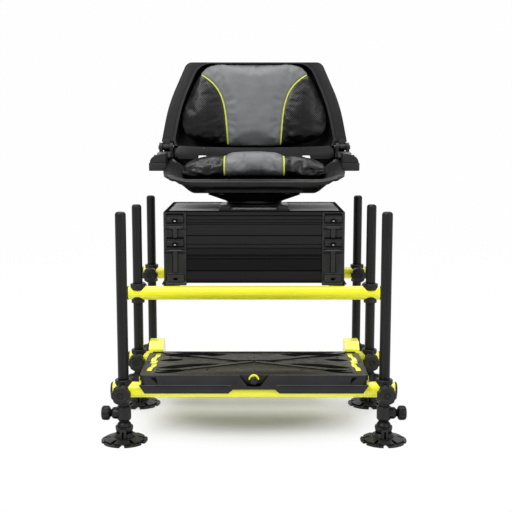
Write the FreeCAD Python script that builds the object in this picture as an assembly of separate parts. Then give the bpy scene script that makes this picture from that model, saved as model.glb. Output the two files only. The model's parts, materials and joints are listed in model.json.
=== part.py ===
"""Fishing seat box on six telescopic legs, with a swivel seat and a front footplate.

Millimetres, +Z up, the front of the box faces -Y. The origin lies under the middle of
the bounding box, on the ground. Every physical piece is its own solid; each node is
written to parts/NODE.step.
"""
import FreeCAD, Part
import math
import os

V = FreeCAD.Vector
X_AXIS = V(1, 0, 0)
Y_AXIS = V(0, 1, 0)
Z_AXIS = V(0, 0, 1)
SIDES = {"left": -1, "right": 1}

# fits
RUN_FIT = 0.08  # radial clearance of a running shaft
SEAT_GAP = 0.05  # radial clearance of pieces that are fitted for good
BODY_GAP = 0.4  # clearance between faces that pass each other

# legs and cross tubes
LEG_D = 25.0
LEG_WALL = 2.0
LEG_X = 302.5
ROW_FRONT_MID = 300.0
ROW_MID_REAR = 340.0
LEG_TOP = {"front": 538.0, "mid": 529.0, "rear": 526.0}
LEG_BOTTOM = 66.0
CAP_H = 9.0
TUBE_D = 36.0
TUBE_WALL = 2.5
TUBE_HALF = 326.0
END_CAP_T = 5.0
Z_UPPER = 298.0
Z_LOW = 124.0

# leg sleeves and clamp knobs
SLEEVE_D = 31.0
COLLAR_D = 39.0
COLLAR_REACH = 25.0
LOWER_COLLAR_D = 34.0
BOSS_D = 24.0
BOSS_REACH = 34.0
STUD_D = 10.0
STAR_D = 44.0
STAR_REACH = 58.0
STAR_LOBES = 6

# mud feet
BLOCK_D = 33.0
BLOCK_TOP = 85.0
BLOCK_BOTTOM = 51.0
BALL_D = 36.0
BALL_Z = 34.0
HUB_D = 44.0
HUB_TOP = 37.0
DISC_R = 54.0
PETALS = 6
SOCKET_WALL = 2.6
FOOT_KNOB_D = 34.0
FOOT_KNOB_Z = 68.0
FOOT_KNOB_REACH = 52.0

# rows of legs along Y, placed so that the bounding box is centred
Y_FRONT = -(ROW_FRONT_MID + ROW_MID_REAR + DISC_R - STAR_REACH) / 2
Y_MID = Y_FRONT + ROW_FRONT_MID
Y_REAR = Y_MID + ROW_MID_REAR
ROW_Y = {"front": Y_FRONT, "mid": Y_MID, "rear": Y_REAR}

# box
BOX_HALF = 236.0
BOX_DEPTH = 280.0
BOX_FRONT = Y_MID + 15.0
BOX_REAR = BOX_FRONT + BOX_DEPTH
BOX_BOTTOM = Z_UPPER + TUBE_D / 2
Z_TRAY = 415.0
Z_LID = 477.0
Z_TOP = 507.0
CORNER_W = 59.0
CORNER_T = 13.0
PANEL_T = 4.0
PANEL_SET = 2.0
FLOOR_T = 3.0
MODULE_GAP = 0.4
HINGE_OUT = 6.6
HINGE_R = 6.0
HINGE_PIN_D = 6.0
HINGE_X = 120.0
KNUCKLE = 24.0
LEAF_T = 3.0
LEAF_H = 22.0
LATCH_W = 44.0
LATCH_H = 19.0
LATCH_T = 7.0
LATCH_TRAVEL = 5.0
BEAM_X = 222.0
BEAM_W = 30.0
BEAM_H = 30.0

# seat
SWIVEL_Y = BOX_FRONT + BOX_DEPTH / 2
SWIVEL_R = 76.0
Z_PLATE = Z_TOP + 2.0
Z_TURN = Z_PLATE + 14.0
Z_PAN = 549.0
PAN_FLOOR = 588.0
PAN_WALL = 5.0
AXIS_Z = 668.0
AXIS_Y = Y_MID + 262.0
AXIS_PIN_D = 8.0
LEAN = 10.0
BACK_HALF = 266.0
BACK_TOP = 241.0
BACK_BELLY = 5.0
BACK_WALL = 4.0
FLANGE_W = 38.0
BOWL_DEPTH = 50.0
LIP_H = 28.0
LIP_T = 5.0

# footplate
RAIL_X = 250.0
RAIL_W = 36.0
RAIL_TOP = 150.0
RAIL_WALL = 4.0
DECK_TOP = 163.0
DECK_T = 6.0
DECK_HALF = 263.0
DECK_FRONT = -22.0
DECK_REAR = 208.0
LIP_CREASE = 141.0
LIP_BOTTOM = 121.0
DECK_KNOB_D = 19.0
KNOB_RING_D = 25.0
RIB_RISE = 1.8


def block(x0, x1, y0, y1, z0, z1):
    """Box between two corners."""
    return Part.makeBox(abs(x1 - x0), y1 - y0, z1 - z0, V(min(x0, x1), y0, z0))


def rod(radius, start, end):
    """Cylinder from start to end."""
    axis = end.sub(start)
    return Part.makeCylinder(radius, axis.Length, start, axis)


def prism(points, sweep):
    """Flat polygon swept along a vector."""
    return Part.Face(Part.makePolygon(points + [points[0]])).extrude(sweep)


def turned(profile, base, axis=Z_AXIS):
    """Solid of revolution from (radius, height) pairs, standing on base."""
    outline = [V(radius, 0, height) for radius, height in profile]
    body = Part.Face(Part.makePolygon(outline + [outline[0]])).revolve(V(0, 0, 0), Z_AXIS, 360)
    body.Placement = FreeCAD.Placement(base, FreeCAD.Rotation(Z_AXIS, axis))
    return body


def union(first, *others):
    return first.fuse(list(others)).removeSplitter()


def mirrored(shape):
    return shape.mirror(V(0, 0, 0), X_AXIS)


def largest(shape):
    return max(shape.Solids, key=lambda solid: solid.Volume)


def rounded_wire(points, radii):
    """Closed wire through the corners, each one rounded by its own radius."""
    ends = []
    for i, corner in enumerate(points):
        before = points[i - 1].sub(corner)
        after = points[(i + 1) % len(points)].sub(corner)
        before.normalize()
        after.normalize()
        if radii[i] == 0:
            ends.append((corner, None, corner))
            continue
        half = before.getAngle(after) / 2
        reach = radii[i] / math.tan(half)
        inward = before.add(after)
        inward.normalize()
        middle = corner.add(inward * (radii[i] / math.sin(half) - radii[i]))
        ends.append((corner.add(before * reach), middle, corner.add(after * reach)))
    edges = []
    for i, (start, middle, end) in enumerate(ends):
        if middle is not None:
            edges.append(Part.Arc(start, middle, end).toShape())
        following = ends[(i + 1) % len(ends)][0]
        if end.distanceToPoint(following) > 1e-6:
            edges.append(Part.makeLine(end, following))
    return Part.Wire(edges)


def save(name, *solids):
    """Write one node; a node of several pieces keeps them as separate solids."""
    pieces = [piece for solid in solids for piece in solid.Solids]
    shape = pieces[0] if len(pieces) == 1 else Part.makeCompound(pieces)
    shape.exportStep("parts/%s.step" % name)


def cross_tube(y, z, face):
    """Cross tube with the holes for its two leg sleeves and clamp bosses."""
    start = V(-TUBE_HALF, y, z)
    end = V(TUBE_HALF, y, z)
    tube = rod(TUBE_D / 2, start, end).cut(rod(TUBE_D / 2 - TUBE_WALL, start, end))
    for side in SIDES.values():
        x = side * LEG_X
        tube = tube.cut(rod(SLEEVE_D / 2 + SEAT_GAP, V(x, y, z - TUBE_D), V(x, y, z + TUBE_D)))
        tube = tube.cut(rod(BOSS_D / 2 + SEAT_GAP, V(x, y, z), V(x, y + face * TUBE_D, z)))
    return tube


def end_cap(side, y, z):
    """Push-in cap of a cross tube."""
    plug = TUBE_D / 2 - TUBE_WALL - SEAT_GAP
    rim = TUBE_D / 2
    depth = TUBE_HALF - LEG_X - SLEEVE_D / 2 - BODY_GAP
    profile = [
        (0, -depth),
        (plug, -depth),
        (plug, 0),
        (rim, 0),
        (rim, END_CAP_T - 2),
        (rim - 2, END_CAP_T),
        (0, END_CAP_T),
    ]
    return turned(profile, V(side * TUBE_HALF, y, z), V(side, 0, 0))


def leg_sleeve(x, y, z, face):
    """Bush that guides a leg through a tube, with saddle collars above and below."""
    bore = LEG_D / 2 + RUN_FIT
    core_r = SLEEVE_D / 2
    centre = V(x, y, z)
    profile = [(bore, -COLLAR_REACH), (core_r, -COLLAR_REACH), (core_r, COLLAR_REACH), (bore, COLLAR_REACH)]
    core = turned(profile, centre)
    top_r = COLLAR_D / 2
    top = turned(
        [(bore, 9), (top_r, 9), (top_r, COLLAR_REACH - 1.5), (top_r - 1.5, COLLAR_REACH), (bore, COLLAR_REACH)],
        centre,
    )
    low_r = LOWER_COLLAR_D / 2
    low = turned([(bore, -COLLAR_REACH), (low_r, -COLLAR_REACH), (low_r, -9), (bore, -9)], centre)
    tube = rod(TUBE_D / 2 + SEAT_GAP, V(x - 40, y, z), V(x + 40, y, z))
    sleeve = union(core, top.cut(tube), low.cut(tube))
    return sleeve.cut(rod(STUD_D / 2 + BODY_GAP, centre, V(x, y + face * 30, z)))


def clamp_boss(x, y, z, face):
    """Threaded boss that carries a star knob, saddled on the tube."""
    centre = V(x, y, z)
    way = V(0, face, 0)
    barrel = turned(
        [(0, 12), (BOSS_D / 2, 12), (BOSS_D / 2, BOSS_REACH - 2), (BOSS_D / 2 - 2, BOSS_REACH), (0, BOSS_REACH)],
        centre,
        way,
    )
    flange = turned([(0, 10), (BOSS_D / 2 + 3, 10), (BOSS_D / 2 + 3, 21), (0, 21)], centre, way)
    flange = flange.cut(rod(TUBE_D / 2 + SEAT_GAP, V(x - 40, y, z), V(x + 40, y, z)))
    boss = union(barrel, flange)
    boss = boss.cut(rod(COLLAR_D / 2 + SEAT_GAP, V(x, y, z + 8), V(x, y, z + 40)))
    boss = boss.cut(rod(LOWER_COLLAR_D / 2 + SEAT_GAP, V(x, y, z - 40), V(x, y, z - 8)))
    boss = boss.cut(rod(SLEEVE_D / 2 + SEAT_GAP, V(x, y, z - 40), V(x, y, z + 40)))
    return largest(boss.cut(rod(STUD_D / 2 + RUN_FIT, centre, V(x, y + face * 60, z))))


def star_knob(x, y, z, face):
    """Lobed clamp knob with its stud, which presses on the leg."""
    stud = STUD_D / 2
    rim = STAR_D / 2
    profile = [
        (0, LEG_D / 2 + BODY_GAP),
        (stud, LEG_D / 2 + BODY_GAP),
        (stud, BOSS_REACH + BODY_GAP),
        (11, BOSS_REACH + BODY_GAP),
        (11, 38),
        (rim - 2, 38),
        (rim, 40),
        (rim, 53),
        (rim - 1.5, 56),
        (rim - 5, STAR_REACH),
        (8, STAR_REACH),
        (7, STAR_REACH - 1.5),
        (0, STAR_REACH - 1.5),
    ]
    way = V(0, face, 0)
    knob = turned(profile, V(x, y, z), way)
    for i in range(STAR_LOBES):
        angle = 2 * math.pi * (i + 0.5) / STAR_LOBES
        cx = x + (rim + 3.4) * math.cos(angle)
        cz = z + (rim + 3.4) * math.sin(angle)
        knob = knob.cut(rod(6.0, V(cx, y + face * 36.5, cz), V(cx, y + face * 60, cz)))
    return knob


def leg(row, side):
    """Leg tube and the round cap in its top end."""
    x = side * LEG_X
    y = ROW_Y[row]
    top = LEG_TOP[row] - CAP_H
    outer = LEG_D / 2
    inner = outer - LEG_WALL
    tube = rod(outer, V(x, y, LEG_BOTTOM), V(x, y, top)).cut(rod(inner, V(x, y, LEG_BOTTOM), V(x, y, top)))
    plug = inner - SEAT_GAP
    steps = 4
    dome = [
        (outer - CAP_H * 0.75 * (1 - math.cos(math.pi / 2 * i / steps)), 2 + (CAP_H - 2) * math.sin(math.pi / 2 * i / steps))
        for i in range(steps + 1)
    ]
    cap = turned([(0, -16), (plug, -16), (plug, 0), (outer, 0)] + dome + [(0, CAP_H)], V(x, y, top))
    return tube, cap


def foot_block(row, side):
    """Foot clamp block on the leg's lower end, ending in the ball of the foot."""
    x = side * LEG_X
    y = ROW_Y[row]
    r = BLOCK_D / 2
    body = turned(
        [(0, BLOCK_BOTTOM), (r - 3, BLOCK_BOTTOM), (r, BLOCK_BOTTOM + 4), (r, BLOCK_TOP - 2), (r - 2, BLOCK_TOP), (0, BLOCK_TOP)],
        V(x, y, 0),
    )
    boss_r = 14.0
    boss = turned(
        [(0, 0), (boss_r, 0), (boss_r, 22), (boss_r - 1.5, 26), (boss_r - 5, 29), (boss_r - 7, 30), (0, 30)],
        V(x, y, FOOT_KNOB_Z),
        V(side, 0, 0),
    )
    neck = rod(11, V(x, y, BALL_Z), V(x, y, BLOCK_BOTTOM + 5))
    ball = Part.makeSphere(BALL_D / 2, V(x, y, BALL_Z))
    solid = union(body, boss, neck, ball)
    socket = rod(LEG_D / 2 + SEAT_GAP, V(x, y, LEG_BOTTOM), V(x, y, BLOCK_TOP + 5))
    core = rod(LEG_D / 2 - LEG_WALL - SEAT_GAP, V(x, y, LEG_BOTTOM), V(x, y, BLOCK_TOP - 4))
    stud_hole = rod(STUD_D / 2 + RUN_FIT, V(x + side * 16, y, FOOT_KNOB_Z), V(x + side * 40, y, FOOT_KNOB_Z))
    return union(solid.cut(socket), core).cut(stud_hole)


def foot_knob(row, side):
    """Ribbed hand knob that clamps the foot block."""
    rim = FOOT_KNOB_D / 2
    stud = STUD_D / 2
    profile = [
        (0, 16.5),
        (stud, 16.5),
        (stud, 30 + BODY_GAP),
        (9, 30 + BODY_GAP),
        (9, 32),
        (rim - 5, 32),
        (rim - 1, 34.5),
        (rim, 38),
        (rim, FOOT_KNOB_REACH - 6),
        (rim - 1.5, FOOT_KNOB_REACH - 2),
        (rim - 5, FOOT_KNOB_REACH),
        (0, FOOT_KNOB_REACH),
    ]
    centre = V(side * LEG_X, ROW_Y[row], FOOT_KNOB_Z)
    knob = turned(profile, centre, V(side, 0, 0))
    ribs = 10
    for i in range(ribs):
        angle = 2 * math.pi * i / ribs
        out = V(0, (rim + 1.2) * math.cos(angle), (rim + 1.2) * math.sin(angle))
        start = centre.add(out).add(V(side * 32, 0, 0))
        knob = knob.cut(rod(2.6, start, start.add(V(side * 30, 0, 0))))
    return knob


def petals(centre, radius, z0, z1, rise, turn):
    """One layer of the mud disc: a shallow cone split into petals by wedge cuts."""
    layer = turned([(0, z0), (radius - 1.5, z0), (radius, z0 + 1.5), (radius, z1), (26, z1 + rise), (0, z1 + rise)], centre)
    for i in range(PETALS):
        angle = 2 * math.pi * (i + turn) / PETALS
        way = V(math.cos(angle), math.sin(angle), 0)
        across = V(-way.y, way.x, 0)
        inner = centre.add(way * 31)
        outer = centre.add(way * (DISC_R + 4))
        corners = [inner.add(across * 2), inner.sub(across * 2), outer.sub(across * 7), outer.add(across * 7)]
        layer = layer.cut(prism(corners, V(0, 0, 30)))
    return layer


def foot_disc(row, side):
    """Mud disc of two layers of petals, with a ball socket and the clip in front of it."""
    centre = V(side * LEG_X, ROW_Y[row], 0)
    ball = centre.add(V(0, 0, BALL_Z))
    sole = petals(centre, DISC_R, 0, 4, 3, 0.5)
    upper = petals(centre, DISC_R - 7, 4, 8, 5, 0.0)
    hub = turned([(0, 5), (HUB_D / 2 + 3, 5), (HUB_D / 2 + 3, 14), (HUB_D / 2 - 2, 22), (0, 22)], centre)
    shell = Part.makeSphere(BALL_D / 2 + SOCKET_WALL, ball)
    shell = shell.cut(block(centre.x - 40, centre.x + 40, centre.y - 40, centre.y + 40, HUB_TOP, 90))
    clip = block(centre.x - 7, centre.x + 7, centre.y - 29, centre.y - 17, 8, 35)
    clip = clip.cut(block(centre.x - 2, centre.x + 2, centre.y - 40, centre.y - 24, 13, 30))
    disc = union(sole, upper, hub, shell, clip)
    return disc.cut(Part.makeSphere(BALL_D / 2 + 0.3, ball)).removeSplitter()


def frame():
    """Main frame: two upper cross tubes, their fittings and the two beams under the box."""
    faces = {Y_MID: 1, Y_REAR: -1}
    fittings = []
    for name, y in (("upper_front_tube", Y_MID), ("upper_rear_tube", Y_REAR)):
        save(name, cross_tube(y, Z_UPPER, faces[y]))
        for side in SIDES.values():
            x = side * LEG_X
            fittings += [leg_sleeve(x, y, Z_UPPER, faces[y]), clamp_boss(x, y, Z_UPPER, faces[y])]
            fittings.append(end_cap(side, y, Z_UPPER))
    save("upper_frame_fittings", *fittings)
    beams = []
    for side in SIDES.values():
        x = side * BEAM_X
        outer = block(x - BEAM_W / 2, x + BEAM_W / 2, Y_MID, Y_REAR, BOX_BOTTOM - BEAM_H, BOX_BOTTOM)
        inner = block(
            x - BEAM_W / 2 + 2.5, x + BEAM_W / 2 - 2.5, Y_MID, Y_REAR, BOX_BOTTOM - BEAM_H + 2.5, BOX_BOTTOM - 2.5
        )
        beam = outer.cut(inner)
        for y in (Y_MID, Y_REAR):
            beam = beam.cut(rod(TUBE_D / 2 + SEAT_GAP, V(x - 40, y, Z_UPPER), V(x + 40, y, Z_UPPER)))
        beams.append(largest(beam))
    save("frame_beams", *beams)


def corner_casting(side, end, z0, z1, flared):
    """Corner of one box module, L-shaped in plan, with chamfered outer edge."""
    outer_x = BOX_HALF
    outer_y = BOX_DEPTH / 2
    plan = [
        V(outer_x, outer_y - 5, z0),
        V(outer_x - 5, outer_y, z0),
        V(outer_x - CORNER_W, outer_y, z0),
        V(outer_x - CORNER_W, outer_y - CORNER_T, z0),
        V(outer_x - CORNER_T - 6, outer_y - CORNER_T, z0),
        V(outer_x - CORNER_T, outer_y - CORNER_T - 6, z0),
        V(outer_x - CORNER_T, outer_y - CORNER_W, z0),
        V(outer_x, outer_y - CORNER_W, z0),
    ]
    body = prism(plan, V(0, 0, z1 - z0))
    if flared:
        foot = [V(0, 0, 0), V(6, 0, 0), V(6, 0, 2.5), V(0, 0, 11)]
        side_foot = prism([p.add(V(outer_x, outer_y - CORNER_W, z0)) for p in foot], V(0, CORNER_W - 5, 0))
        front_foot = prism(
            [V(outer_x - CORNER_W, outer_y + p.x, z0 + p.z) for p in foot], V(CORNER_W - 5, 0, 0)
        )
        body = union(body, side_foot, front_foot)
    if end < 0:
        body = body.mirror(V(0, 0, 0), Y_AXIS)
    if side < 0:
        body = mirrored(body)
    body.translate(V(0, SWIVEL_Y, 0))
    return body


def latch_x(side):
    return side * (BOX_HALF - CORNER_W / 2 - 1)


def front_details(corner, side, z0, z1, latch_z):
    """Raised T strip and latch pocket on the front face of a corner."""
    x = latch_x(side)
    face = BOX_FRONT
    if z1 - latch_z > 45:
        strip = block(x - 6, x + 6, face - 2, face + 2, latch_z + LATCH_H + LATCH_TRAVEL + 3, z1 - 6)
        bar = block(x - 16, x + 16, face - 2, face + 2, z1 - 13, z1 - 6)
        corner = union(corner, strip, bar)
    pocket = block(
        x - LATCH_W / 2 - BODY_GAP,
        x + LATCH_W / 2 + BODY_GAP,
        face - 5,
        face + 3.5,
        latch_z - BODY_GAP,
        latch_z + LATCH_H + LATCH_TRAVEL + BODY_GAP,
    )
    return corner.cut(pocket)


def latch(side, latch_z):
    """Sliding corner latch: plate with a thumb step and a square window."""
    x = latch_x(side)
    back = BOX_FRONT + 3.5 - BODY_GAP
    face = back - LATCH_T
    z = latch_z
    profile = [
        V(x - LATCH_W / 2, back, z),
        V(x - LATCH_W / 2, face + 2, z),
        V(x - LATCH_W / 2, face, z + 2),
        V(x - LATCH_W / 2, face, z + LATCH_H - 7),
        V(x - LATCH_W / 2, face + 2.5, z + LATCH_H - 5),
        V(x - LATCH_W / 2, face + 2.5, z + LATCH_H),
        V(x - LATCH_W / 2, back, z + LATCH_H),
    ]
    plate = prism(profile, V(LATCH_W, 0, 0))
    return plate.cut(block(x - 5, x + 5, face - 1, back + 1, z + 4, z + 10))


def panel(z0, z1, grooves):
    """Extruded wall profile in the plane of its thickness, with shallow outer grooves."""
    points = [(0, z0), (PANEL_T, z0), (PANEL_T, z1), (0, z1)]
    outline = [points[0], points[1], points[2], points[3]]
    for z in sorted(grooves, reverse=True):
        outline += [(0, z + 1.2), (1.2, z + 0.6), (1.2, z - 0.6), (0, z - 1.2)]
    return outline


def panels(z0, z1, grooves, floor_z):
    """Four wall extrusions between the corners and the sheet that closes the module."""
    outline = panel(z0, z1, grooves)
    half = BOX_HALF - CORNER_W - SEAT_GAP
    front = prism([V(-half, BOX_FRONT + PANEL_SET + t, z) for t, z in outline], V(2 * half, 0, 0))
    rear = prism([V(-half, BOX_REAR - PANEL_SET - t, z) for t, z in outline], V(2 * half, 0, 0))
    long = BOX_DEPTH - 2 * CORNER_W - 2 * SEAT_GAP
    start = BOX_FRONT + CORNER_W + SEAT_GAP
    right = prism([V(BOX_HALF - PANEL_SET - t, start, z) for t, z in outline], V(0, long, 0))
    sheet_half = BOX_HALF - CORNER_T - SEAT_GAP
    inset = CORNER_T + SEAT_GAP
    sheet = block(-sheet_half, sheet_half, BOX_FRONT + inset, BOX_REAR - inset, floor_z, floor_z + FLOOR_T)
    ledge = PANEL_SET + PANEL_T
    tabs = [
        block(-half, half, BOX_FRONT + ledge, BOX_FRONT + inset + 1, floor_z, floor_z + FLOOR_T),
        block(-half, half, BOX_REAR - inset - 1, BOX_REAR - ledge, floor_z, floor_z + FLOOR_T),
        block(-BOX_HALF + ledge, -sheet_half + 1, start, start + long, floor_z, floor_z + FLOOR_T),
        block(sheet_half - 1, BOX_HALF - ledge, start, start + long, floor_z, floor_z + FLOOR_T),
    ]
    relief = []
    for sx in SIDES.values():
        for y in (BOX_FRONT + inset, BOX_REAR - inset):
            x = sx * sheet_half
            relief.append(
                prism([V(x - 7, y, floor_z - 1), V(x, y - 7, floor_z - 1), V(x + 7, y, floor_z - 1), V(x, y + 7, floor_z - 1)], V(0, 0, 9))
            )
    sheet = union(sheet, *tabs).cut(relief)
    return front, rear, right, mirrored(right), sheet


def hinge_leaves(z, fingers, above):
    """Hinge leaves screwed on a rear wall; fingers are (start, end) of the knuckles along X."""
    y = BOX_REAR + HINGE_OUT
    face = BOX_REAR - PANEL_SET
    way = 1 if above else -1
    fit = RUN_FIT if above else SEAT_GAP
    bore = rod(HINGE_PIN_D / 2 + fit, V(-BOX_HALF, y, z), V(BOX_HALF, y, z))
    leaves = []
    for side in SIDES.values():
        x = side * HINGE_X
        low, high = sorted((z + way * (HINGE_R + BODY_GAP), z + way * LEAF_H))
        leaf = block(x - 1.5 * KNUCKLE, x + 1.5 * KNUCKLE, face, face + LEAF_T, low, high)
        for start, end in fingers:
            low, high = sorted((z + way * MODULE_GAP, z + way * (HINGE_R + 3)))
            pad = block(x + start, x + end, face, face + LEAF_T, low, high)
            low, high = sorted((z + way * MODULE_GAP, z + way * HINGE_R))
            web = block(x + start, x + end, face, y, low, high)
            leaf = leaf.fuse([pad, web, rod(HINGE_R, V(x + start, y, z), V(x + end, y, z))])
        leaves.append(leaf.removeSplitter().cut(bore))
    return leaves


def hinge_pins(z):
    y = BOX_REAR + HINGE_OUT
    reach = 1.5 * KNUCKLE + 1
    return [
        rod(HINGE_PIN_D / 2, V(side * HINGE_X - reach, y, z), V(side * HINGE_X + reach, y, z))
        for side in SIDES.values()
    ]


def box_modules():
    """Deep base, shallow tray and lid, each with corner castings and extruded walls."""
    inner = [(-KNUCKLE / 2 + BODY_GAP, KNUCKLE / 2 - BODY_GAP)]
    outer = [(-1.5 * KNUCKLE, -KNUCKLE / 2), (KNUCKLE / 2, 1.5 * KNUCKLE)]
    z0 = BOX_BOTTOM + 5
    z1 = Z_TRAY - MODULE_GAP
    front, rear, right, left, sheet = panels(z0, z1, [Z_TRAY - 20, Z_TRAY - 30, Z_TRAY - 61], z0 + 2)
    leaves = hinge_leaves(Z_TRAY, outer, False)
    save("base_panels", front, rear, right, left, sheet, *leaves, *hinge_pins(Z_TRAY))
    corners = []
    for side in SIDES.values():
        corner = corner_casting(side, -1, BOX_BOTTOM, z1, True)
        x = latch_x(side)
        strip = block(x - 6, x + 6, BOX_FRONT - 2, BOX_FRONT + 2, BOX_BOTTOM + 33, z1 - 10)
        bar = block(x - 16, x + 16, BOX_FRONT - 2, BOX_FRONT + 2, z1 - 10, z1 - 4)
        clip = block(x - 22, x + 22, BOX_FRONT - 3.5, BOX_FRONT + 2, BOX_BOTTOM + 9, BOX_BOTTOM + 28)
        corner = union(corner, strip, bar, clip)
        corners.append(corner.cut(block(x - 5, x + 5, BOX_FRONT - 9, BOX_FRONT + 3, BOX_BOTTOM + 13, BOX_BOTTOM + 19)))
        corners.append(corner_casting(side, 1, BOX_BOTTOM, z1, True))
    save("base_corners", *corners)

    z0 = Z_TRAY
    z1 = Z_LID - MODULE_GAP
    front, rear, right, left, sheet = panels(z0, z1, [Z_TRAY + 8, Z_TRAY + 31], z0 + 2)
    leaves = hinge_leaves(Z_TRAY, inner, True) + hinge_leaves(Z_LID, outer, False)
    save("tray_panels", front, rear, right, left, sheet, *leaves, *hinge_pins(Z_LID))
    corners = []
    for name, side in SIDES.items():
        corner = corner_casting(side, -1, z0, z1, False)
        corners.append(front_details(corner, side, z0, z1, z0 + 2.5))
        corners.append(corner_casting(side, 1, z0, z1, False))
        save("tray_latch_" + name, latch(side, z0 + 2.5))
    save("tray_corners", *corners)

    z0 = Z_LID
    front, rear, right, left, sheet = panels(z0, Z_TOP, [Z_TOP - 9], Z_TOP - 5)
    save("lid_panels", front, rear, right, left, sheet, *hinge_leaves(Z_LID, inner, True))
    corners = []
    for name, side in SIDES.items():
        corner = corner_casting(side, -1, z0, Z_TOP, False)
        corners.append(front_details(corner, side, z0, Z_TOP, z0 + 2.5))
        pad = block(side * (BOX_HALF - 46), side * (BOX_HALF - 5), BOX_REAR - 12, BOX_REAR - 1, Z_TOP - 1, Z_TOP + 3)
        corners.append(union(corner_casting(side, 1, z0, Z_TOP, False), pad))
        save("lid_latch_" + name, latch(side, z0 + 2.5))
    save("lid_corners", *corners)
    edge = CORNER_T + 1
    mat_top = Z_PLATE
    mat_plan = [
        V(-BOX_HALF + edge, BOX_FRONT + edge, Z_TOP - 2),
        V(BOX_HALF - edge, BOX_FRONT + edge, Z_TOP - 2),
        V(BOX_HALF - edge, BOX_REAR - edge, Z_TOP - 2),
        V(-BOX_HALF + edge, BOX_REAR - edge, Z_TOP - 2),
    ]
    mat = Part.Face(rounded_wire(mat_plan, [9, 9, 9, 9])).extrude(V(0, 0, mat_top - Z_TOP + 2))
    save("lid_mat", mat)


def seat_section(y, half, rim, floor_half, floor, radius, rise=0.0):
    """Bucket cross-section; rise carries the side lines on above the rim."""
    slope = (half - floor_half) / (rim - floor)
    top_half = half + slope * rise
    points = [
        V(-top_half, y, rim + rise),
        V(-floor_half, y, floor),
        V(floor_half, y, floor),
        V(top_half, y, rim + rise),
    ]
    return rounded_wire(points, [0, radius, radius, 0])


def swivel(pan):
    """Fixed turntable base on the lid and the bracket that turns on it under the pan."""
    y = SWIVEL_Y
    foot_plan = [
        V(-92, BOX_FRONT + 16, Z_PLATE),
        V(92, BOX_FRONT + 16, Z_PLATE),
        V(92, y + 105, Z_PLATE),
        V(-92, y + 105, Z_PLATE),
    ]
    foot = Part.Face(rounded_wire(foot_plan, [6, 6, 20, 20])).extrude(V(0, 0, 4))
    ring = turned([(0, 0), (SWIVEL_R, 0), (SWIVEL_R, 10), (SWIVEL_R - 4, 14 - BODY_GAP), (0, 14 - BODY_GAP)], V(0, y, Z_PLATE))
    base = union(foot, ring)
    for side in SIDES.values():
        lug = block(side * 62, side * 88, BOX_FRONT + 16, BOX_FRONT + 44, Z_PLATE, Z_PLATE + 13)
        base = union(base, lug)
    spindle = rod(11 + RUN_FIT, V(0, y, Z_PLATE + 3), V(0, y, Z_PLATE + 40))
    save("swivel_base", base.cut(spindle))

    def ring_wire(half_x, half_y, z, radius):
        points = [V(-half_x, y - half_y, z), V(half_x, y - half_y, z), V(half_x, y + half_y, z), V(-half_x, y + half_y, z)]
        return rounded_wire(points, [radius] * 4)

    outer = Part.makeLoft([ring_wire(72, 72, Z_TURN + 6, 20), ring_wire(122, 96, Z_PAN, 14)], True, True)
    inner = Part.makeLoft([ring_wire(66, 66, Z_TURN + 10, 16), ring_wire(117, 91, Z_PAN + 2, 12)], True, True)
    table = turned([(0, 0), (SWIVEL_R - 2, 0), (SWIVEL_R, 2), (SWIVEL_R, 7), (0, 7)], V(0, y, Z_TURN))
    pin = rod(11, V(0, y, Z_PLATE + 4), V(0, y, Z_TURN + 3))
    bracket = union(outer.cut(inner), table, pin)
    for x in (-64, -22, 22, 64):
        web = block(x - 2, x + 2, y - 68, y + 68, Z_TURN + 5, Z_PAN)
        bracket = union(bracket, web)
    save("swivel_bracket", largest(bracket.cut(pan)))


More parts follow.
